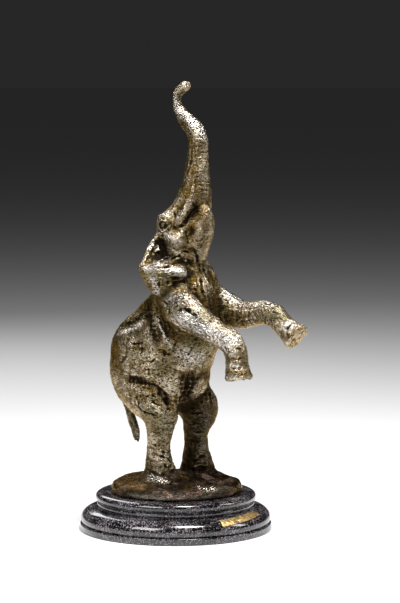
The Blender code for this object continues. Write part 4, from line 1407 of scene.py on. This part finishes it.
# Ochre strokes: partly ochre patina, partly painted shade on the trunk's back, the rump and the ear.
OCHRE = [
    ("b", 0.95, 8.0, [(-50, -32, 155), (-48, -36, 144), (-43, -40, 132)]),
    ("b", 0.95, 3.2, [(181, 123), (19, -7, 359), (21, -8, 346),
     (187, 158), (18, -12, 314), (178, 196)]),
    ("n", 0.95, 3.0, [(228, 372), (107, -45, 131), (113, -41, 131), (117, -34, 131)]),
    ("n", 0.7, 3.0, [(238, 345), (242, 355), (244, 364)]),
    ("n", 0.9, 3.0, [(122, 21, 161), (128, 24, 166), (132, 32, 171)]),
    ("b", 0.85, 4.0, [(191, 131), (26, -10, 347), (25, -12, 332), (22, -14, 317), (18, -16, 300)]),
    ("n", 0.85, 5.0, [(184, 122), (178, 115), (177, 108), (4, -4, 394)]),
    ("b", 0.75, 9.0, [(26, -16, 290), (28, -14, 310), (30, -9, 330), (32, -6, 346)]),
    ("b", 0.6, 9.0, [(40, -6, 283), (42, -5, 268), (38, -8, 250)]),
    ("b", 1.0, 11.0, [(-65, -21, 152), (-60, -27, 143), (-54, -33, 136), (-46, -39, 126)]),
    ("b", 0.9, 4.0, [(133, 382), (143, 386), (152, 391)]),
    ("b", 0.9, 4.5, [(168, 397), (172, 405), (19, -26, 82)]),
    ("b", 0.9, 6.0, [(-1, -55, 226), (143, 278), (148, 289), (11, -48, 212)]),
    ("b", 0.9, 6.0, [(32, -20, 214), (198, 284), (201, 296), (44, -6, 190)]),
    ("b", 0.7, 4.0, [(22, -32, 146), (28, -29, 146)]),
    ("b", 0.6, 5.0, [(4, -38, 78), (10, -33, 74)]),
    ("b", 0.8, 4.0, [(158, 349), (168, 354.5)]),
    ("b", 0.6, 6.0, [(30, -24, 246), (33, -18, 256), (34, -14, 266)]),
    ("n", 0.8, 4.0, "far knee edge"),
    ("b", 0.7, 6.0, [(12, -40, 192), (20, -41, 180), (24, -38, 166), (22, -34, 156)]),
    ("b", 0.6, 7.0, [(-30, -24, 176), (-20, -28, 184), (-10, -28, 196)]),
    ("b", 0.5, 4.0, [(140, 400), (150, 398), (160, 402)]),
]
# Rubbed strokes: partly rubbed wear, partly painted highlights on the trunk's bend, the hip, the arms,
# the brow, the cheek and the ground.
RUBBED_AND_HIGHLIGHT_STROKES = [
    ("b", 0.65, 3.2, [(153, 279), (156, 287), (157, 294)]),
    ("b", 0.6, 4.5, "ear floor"),
    ("b", 0.85, 1.8, "neck fold"),
    ("b", 1.0, 5.0, [(174, 101), (177, 108), (183, 114), (190, 120), (197, 126), (203, 131)]),
    ("n", 0.9, 1.1, [(95, -44, 127), (105, -46, 127), (113, -42, 127), (117, -36, 127)]),
    ("n", 0.8, 1.6, [(99, -44, 138), (107, -43, 137), (113, -39, 137)]),
    ("n", 0.9, 1.3, [(284, 344), (292, 340), (128, 34, 162)]),
    ("n", 0.9, 4.5, [(118, 24, 170), (123, 26, 175), (127, 31, 179)]),
    ("n", 0.35, 2.5, [(-5, -67, 3), (17, -63, 3), (36, -55, 3), (50, -41, 3), (61, -23, 4)]),
    ("n", 0.5, 4.0, [(24, 20, 76), (22, 22, 60), (20, 24, 45)]),
    ("b", 0.9, 4.0, [(146, 268), (13, -47, 230), (24, -40, 226), (34, -27, 223)]),
    ("b", 0.9, 4.0, [(13, -47, 230), (166, 258)]),
    ("b", 0.4, 4.0, [(166, 234), (172, 238), (178, 240)]),
    ("b", 0.7, 2.6, [(-4, -22, 270), (160, 216), (168, 212)]),
    ("b", 0.6, 6.0, [(25, -45, 196), (40, -44, 200), (52, -38, 197)]),
    ("n", 0.95, 8.0, [(180, 318), (190, 321), (202, 328), (84, -46, 166), (96, -42, 160)]),
    ("b", 0.6, 7.0, [(28, -25, 142), (33, -21, 138), (38, -12, 138)]),
    ("b", 1.0, 3.0, [(-50, -30, 157), (120, 333), (130, 330), (140, 324)]),
    ("n", 0.95, 8.0, [(46, 28, 200), (58, 29, 195), (72, 30, 193), (90, 32, 194)]),
    ("n", 0.9, 5.0, [(150, 478), (12, -45, 19), (20, -44, 18)]),
    ("n", 0.8, 4.0, [(200, 487), (207, 489), (212, 487)]),
]


print("strokes:", len(BROWN), "brown,", len(OCHRE), "ochre,", len(RUBBED_AND_HIGHLIGHT_STROKES), "rubbed_and_highlight")

# %% Brush the strokes on
def brush(name, strokes):
    """Keep soft stains along the strokes as a vertex attribute of the casting."""
    place = vertex_arrays(casting)[0]
    stain = np.zeros(len(place))
    for sides, strength, width, points in strokes:
        points = DRAWN[points] if isinstance(points, str) else on_skin(points)
        for side in SIDES[sides]:
            line = smooth_rows(points, 3) * (1, side, 1)
            close, away, _, _ = near_line(place, line, 2.2 * width)
            stain[close] = np.maximum(stain[close], strength * np.exp(-((away / width) ** 2)))
    casting.data.attributes.new(name, "FLOAT", "POINT").data.foreach_set("value", stain)
    return stain


STAINED = 0.3
for name, strokes in (("brown", BROWN), ("ochre", OCHRE), ("rubbed_and_highlight", RUBBED_AND_HIGHLIGHT_STROKES)):
    covered = (brush(name, strokes) > STAINED).mean()
    print(name, "covers", round(float(covered), 2), "of the skin")

# %% [markdown]
# ## Patinated bronze
#
# Foundry bronze is heated and brushed with salts until it is dark brown, then waxed and rubbed. The
# metal shows again on the ridges, grey-gold, with olive and ochre between. The base colour is a ramp
# over the ridge attribute, broken by noise, with patches of ochre and olive at two scales. It also
# carries painted light. It sinks into a dark brown painted shade where the place is closed in, and on
# the far hind leg under the belly. The brown and ochre strokes are partly patina and partly painted
# shade, and the rubbed strokes are partly wear and partly painted highlight. Small dark pits and
# dashes are what the casting sand left. Ridges are smoother than hollows, and two bumps stand for the
# grain of the cast skin.

# %% Bronze patina
PATCHES_PER_METRE = 30.0
HUES_PER_METRE = 70.0
SPECKS_PER_METRE = 760.0
PITS_PER_METRE = (300.0, 300.0, 640.0)
COARSE_PER_METRE = 540.0
GRAINS_PER_METRE = 1000.0
METAL = [
    (0.14, (0.002, 0.0012, 0.0004)),
    (0.34, (0.034, 0.021, 0.006)),
    (0.44, (0.12, 0.083, 0.033)),
    (0.58, (0.215, 0.162, 0.085)),
    (0.85, (0.5, 0.43, 0.33)),
]
WARM_SALT = (0.1, 0.062, 0.016)
OLIVE_SALT = (0.075, 0.06, 0.016)
# Ochre of the ochre strokes, partly painted shade.
OCHRE_SALT_AND_SHADE = (0.105, 0.06, 0.005)
# Bare metal of the rubbed strokes, partly painted highlight.
BARE_METAL_AND_HIGHLIGHT = (0.62, 0.6, 0.59)
# Dark brown painted shade for places that see little of the sky.
PAINTED_SHADE_DARK = (0.018, 0.011, 0.0035)
# Brown wax of the brown strokes, partly painted shade.
BROWN_WAX_AND_SHADE = (0.013, 0.0075, 0.0025)
# Painted shadow on the far hind leg under the belly.
FAR_LEG_PAINTED_SHADOW = (0.018, 0.0105, 0.0035)
DARK_CLAY = (0.008, 0.0045, 0.003)
PALE_CLAY = (0.11, 0.074, 0.058)
PIT_BLACK = (0.003, 0.002, 0.001)
bronze, sheet, shader = new_look(
    "patinated_bronze", Specular_IOR_Level=0.3, Specular_Tint=(0.95, 0.72, 0.42, 1)
)
where = sheet.add("ShaderNodeTexCoord", out="Object")
ridge, opened, brown_and_shade, ochred, rubbed_and_highlight = (
    sheet.attribute(name) for name in ("ridge", "open", "brown", "ochre", "rubbed_and_highlight")
)
patch = sheet.noise(where, PATCHES_PER_METRE, 3.0)
hue = sheet.noise(where, HUES_PER_METRE, 3.0)
speck = sheet.noise(where, SPECKS_PER_METRE, 2.0)
pit = sheet.cells(sheet.vector("MULTIPLY", where, PITS_PER_METRE), 1.0, "Distance")
chance = sheet.tones(pit.out("Color")) + (patch - 0.5) * 0.9 + rubbed_and_highlight * 0.22
pitted = (1.0 - pit.ramp(0.26, 0.42)) * chance.ramp(0.38, 0.44)
level = ridge + (speck - 0.5) * 0.4 + (patch - 0.5) * 0.2
# Painted light in the level: the open share darkens closed places as painted shade, the brown strokes
# darken as patina and painted shade, and the rubbed strokes brighten as wear and painted highlight.
level = level + (opened - 0.8) * 0.5 - brown_and_shade * 0.2 + rubbed_and_highlight * 0.14
metal = sheet.add("ShaderNodeValToRGB", {"stops": METAL}, {"Fac": level})
print("metal stops:", len(METAL))

# %% Layers of the patina
warm = sheet.mixed(hue.ramp(0.5, 0.6) * 0.55, metal, WARM_SALT)
warm = sheet.mixed(patch.ramp(0.5, 0.58) * 0.65, warm, OLIVE_SALT)
# Ochre strokes: ochre patina and painted shade.
warm = sheet.mixed(ochred * (hue.ramp(0.3, 0.6) * 0.4 + 0.6), warm, OCHRE_SALT_AND_SHADE)
# Rubbed strokes: bare metal as wear and painted highlight.
warm = sheet.mixed(rubbed_and_highlight * speck.ramp(0.35, 0.6), warm, BARE_METAL_AND_HIGHLIGHT)
colour = sheet.mixed(level.ramp(0.2, 0.42), metal, warm)
# Painted shade: the colour sinks to dark brown where the skin sees little of the sky.
painted_shade_share = (1.0 - opened.ramp(0.2, 0.78)) * (1.0 - rubbed_and_highlight * 0.8) * 0.85
colour = sheet.mixed(painted_shade_share, colour, PAINTED_SHADE_DARK)
# Brown strokes: brown wax and painted shade.
colour = sheet.mixed(brown_and_shade * 0.92, colour, BROWN_WAX_AND_SHADE)
# Painted shadow darkens the far hind leg under the belly, and clay tones go on the ground.
height = sheet.parts(where, "Z")
below_belly = 1.0 - height.ramp((SEAT + 80) * MM, (SEAT + 125) * MM)
far_leg_shadow_share = height.out("Y").ramp(-2 * MM, 14 * MM) * below_belly * 0.8
colour = sheet.mixed(far_leg_shadow_share, colour, FAR_LEG_PAINTED_SHADOW)
ground = 1.0 - height.ramp((SEAT + 14) * MM, (SEAT + 30) * MM)
clay = sheet.mixed(hue.ramp(0.51, 0.6), DARK_CLAY, PALE_CLAY)
colour = sheet.mixed(ground * (1.0 - rubbed_and_highlight) * 0.92, colour, clay)
colour = sheet.mixed(pitted * 0.92, colour, PIT_BLACK)
coarse = sheet.noise(where, COARSE_PER_METRE, 3.0) - pitted * 0.6
coarse = sheet.bump(coarse, 1.1 * MM)
bump = sheet.bump(sheet.noise(where, GRAINS_PER_METRE, 2.0), 0.6 * MM, Normal=coarse)
feed(
    bronze,
    shader,
    Base_Color=colour,
    Metallic=level.ramp(0.2, 0.6) * 0.25 + 0.65,
    Roughness=0.46 - level.ramp(0.25, 0.8) * 0.2 - ground * 0.22 - rubbed_and_highlight * 0.06,
    Normal=bump,
)
casting.data.materials.clear()
casting.data.materials.append(bronze)
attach(casting, "root")
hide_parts("bronze_elephant")
print("bronze nodes:", len(bronze.node_tree.nodes))

# %% [markdown]
# ## The plaque
#
# A strip of thin brass, cut a little unevenly and bent by hand over the lower step, a little askew.
# It could be a curved CAD sheet, but it follows a surface, so Geometry Nodes bend a flat box: each
# point finds its place down the step's own profile, is lifted off the stone along the profile's
# normal, and is turned round the axis. Its edges are rounded, and two rows of shallow strokes stand
# for worn engraving. They are slanted dashes of seeded lengths and are no letters.

# %% Brass with dark wax in the strokes
STAINS_PER_METRE = 240.0
SCRATCHES_PER_METRE = 900.0
DULL_BRASS = (0.6, 0.33, 0.075)
BRIGHT_BRASS = (1.0, 0.78, 0.4)
TARNISH = (0.09, 0.055, 0.02)
DARK_WAX = (0.05, 0.03, 0.012)
brass, sheet, shader = new_look("worn_brass", Metallic=0.85)
where = sheet.add("ShaderNodeTexCoord", out="Object")
stain = sheet.noise(where, STAINS_PER_METRE, 4.0)
scratch = sheet.noise(where, SCRATCHES_PER_METRE, 2.0)
worn = sheet.mixed(scratch.ramp(0.42, 0.62), DULL_BRASS, BRIGHT_BRASS)
worn = sheet.mixed(stain.ramp(0.52, 0.6) * 0.8, worn, TARNISH)
worn = sheet.mixed(sheet.attribute("stroke") * 0.8, worn, DARK_WAX)
bump = sheet.bump(scratch, 0.2 * MM, 0.5)
feed(brass, shader, Base_Color=worn, Roughness=stain.ramp(0.4, 0.7) * 0.2 + 0.3, Normal=bump)
print("brass nodes:", len(brass.node_tree.nodes))

# %% Bending the plaque over the step
PLAQUE_LENGTH = 60.0
PLAQUE_WIDTH = 8.2
PLAQUE_THICKNESS = 1.0
PLAQUE_GAP = 0.3
PLAQUE_BEARING = math.radians(-5.0)
PLAQUE_SKEW = math.radians(4.6)
PLAQUE_DOWN = 8.9
EDGE_ROUND = 0.6
STROKE_PITCH = 1.15
STROKE_DEPTH = 0.14
sheet, shape, size = geometry_tree(
    "bent_plaque",
    {
        "Length": float,
        "Width": float,
        "Thickness": float,
        "Gap": float,
        "Bearing": float,
        "Slope": float,
        "Down": float,
        "Step Radius": float,
        "Edge Round": float,
        "Stroke Pitch": float,
        "Stroke Depth": float,
        "Brass": bpy.types.Material,
    },
)
box_size = sheet.joined(size["Length"], size["Width"], size["Thickness"])
box = sheet.add(
    "GeometryNodeMeshCube",
    None,
    {"Size": box_size, "Vertices X": 301, "Vertices Y": 42, "Vertices Z": 4},
)
along = sheet.parts(sheet.add("GeometryNodeInputPosition"))
up, lift = along.out("Y"), along.out("Z")
to_end = size["Length"] * 0.5 - along.math("ABSOLUTE")
to_side = size["Width"] * 0.5 - up.math("ABSOLUTE")
edge = to_end.math("MINIMUM", to_side)
rounding = (1.0 - (edge / size["Edge Round"]).math("MINIMUM", 1.0)).math("POWER", 2.0)
print("plaque edge nodes:", len(sheet.tree.nodes))

# %% Two rows of strokes
ROW_PLACE = 0.17
ROW_SHIFT = 0.3
STROKE_SEED = 7.0
LEFT_OUT = 0.25
ROW_SHARE = 0.42
row = up.math("SIGN")
middle = up - row * size["Width"] * ROW_PLACE
pitch = along / size["Stroke Pitch"] + row * ROW_SHIFT
cell = pitch.math("FLOOR")
key = sheet.joined(cell, row, STROKE_SEED)
dice = sheet.add("ShaderNodeTexWhiteNoise", {"noise_dimensions": "3D"}, {"Vector": key}, "Color")
dice = sheet.parts(dice)
slant = pitch - cell - 0.5 + (dice - 0.5) * middle / size["Width"] * 5.0
inked = 1.0 - slant.math("ABSOLUTE").ramp(0.08, 0.24)
inked = inked * dice.out("Y").math("GREATER_THAN", LEFT_OUT)
tall = size["Width"] * (dice.out("Z") * 0.06 + 0.07)
inked = inked * (1.0 - (middle.math("ABSOLUTE") / tall).ramp(0.8, 1.1))
inked = inked * (size["Length"] * ROW_SHARE).math("GREATER_THAN", along.math("ABSOLUTE"))
kept = sheet.keep(box, "stroke", inked)
print("nodes with the strokes:", len(sheet.tree.nodes))

# %% Laying the strip on the step
EDGE_LOSS = 0.35
line = sheet.add("GeometryNodeMeshToCurve", None, {"Mesh": shape})
down = size["Down"] - up - along * size["Slope"]
values = {"Curves": line, "Length": down}
spot = sheet.add("GeometryNodeSampleCurve", {"mode": "LENGTH"}, values, "Position")
spot_x = sheet.parts(spot)
tangent = sheet.parts(spot.out("Tangent"))
top_share = lift.math("GREATER_THAN", 0.0)
raised = lift + size["Thickness"] * 0.5 + size["Gap"]
worn_off = rounding * size["Thickness"] * EDGE_LOSS + inked * size["Stroke Depth"]
raised = raised - worn_off * top_share
radius = spot_x - tangent.out("Z") * raised
level = spot_x.out("Z") + tangent * raised
turn = size["Bearing"] + along / size["Step Radius"]
bent = sheet.joined(radius * turn.math("COSINE"), radius * turn.math("SINE"), level)
moved = sheet.add("GeometryNodeSetPosition", None, {"Geometry": kept, "Position": bent})
end_tree(sheet, moved, size["Brass"])
side = [(r, 0.0, z) for r, z in reversed(ovolo(60))]
plaque = run_tree(
    add_mesh("brass_strip", side, edges=[(k, k + 1) for k in range(len(side) - 1)]),
    sheet,
    length=PLAQUE_LENGTH * MM,
    width=PLAQUE_WIDTH * MM,
    thickness=PLAQUE_THICKNESS * MM,
    gap=PLAQUE_GAP * MM,
    bearing=PLAQUE_BEARING,
    slope=math.tan(PLAQUE_SKEW),
    down=PLAQUE_DOWN * MM,
    step_radius=OVOLO_RADIUS * MM,
    edge_round=EDGE_ROUND * MM,
    stroke_pitch=STROKE_PITCH * MM,
    stroke_depth=STROKE_DEPTH * MM,
    brass=brass,
)
tidy_mesh(plaque)
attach(plaque, "root")
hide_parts("brass_plaque")
print("plaque triangles:", triangles(plaque))

# %% [markdown]
# The finer skins have to stay inside the packed model's box.
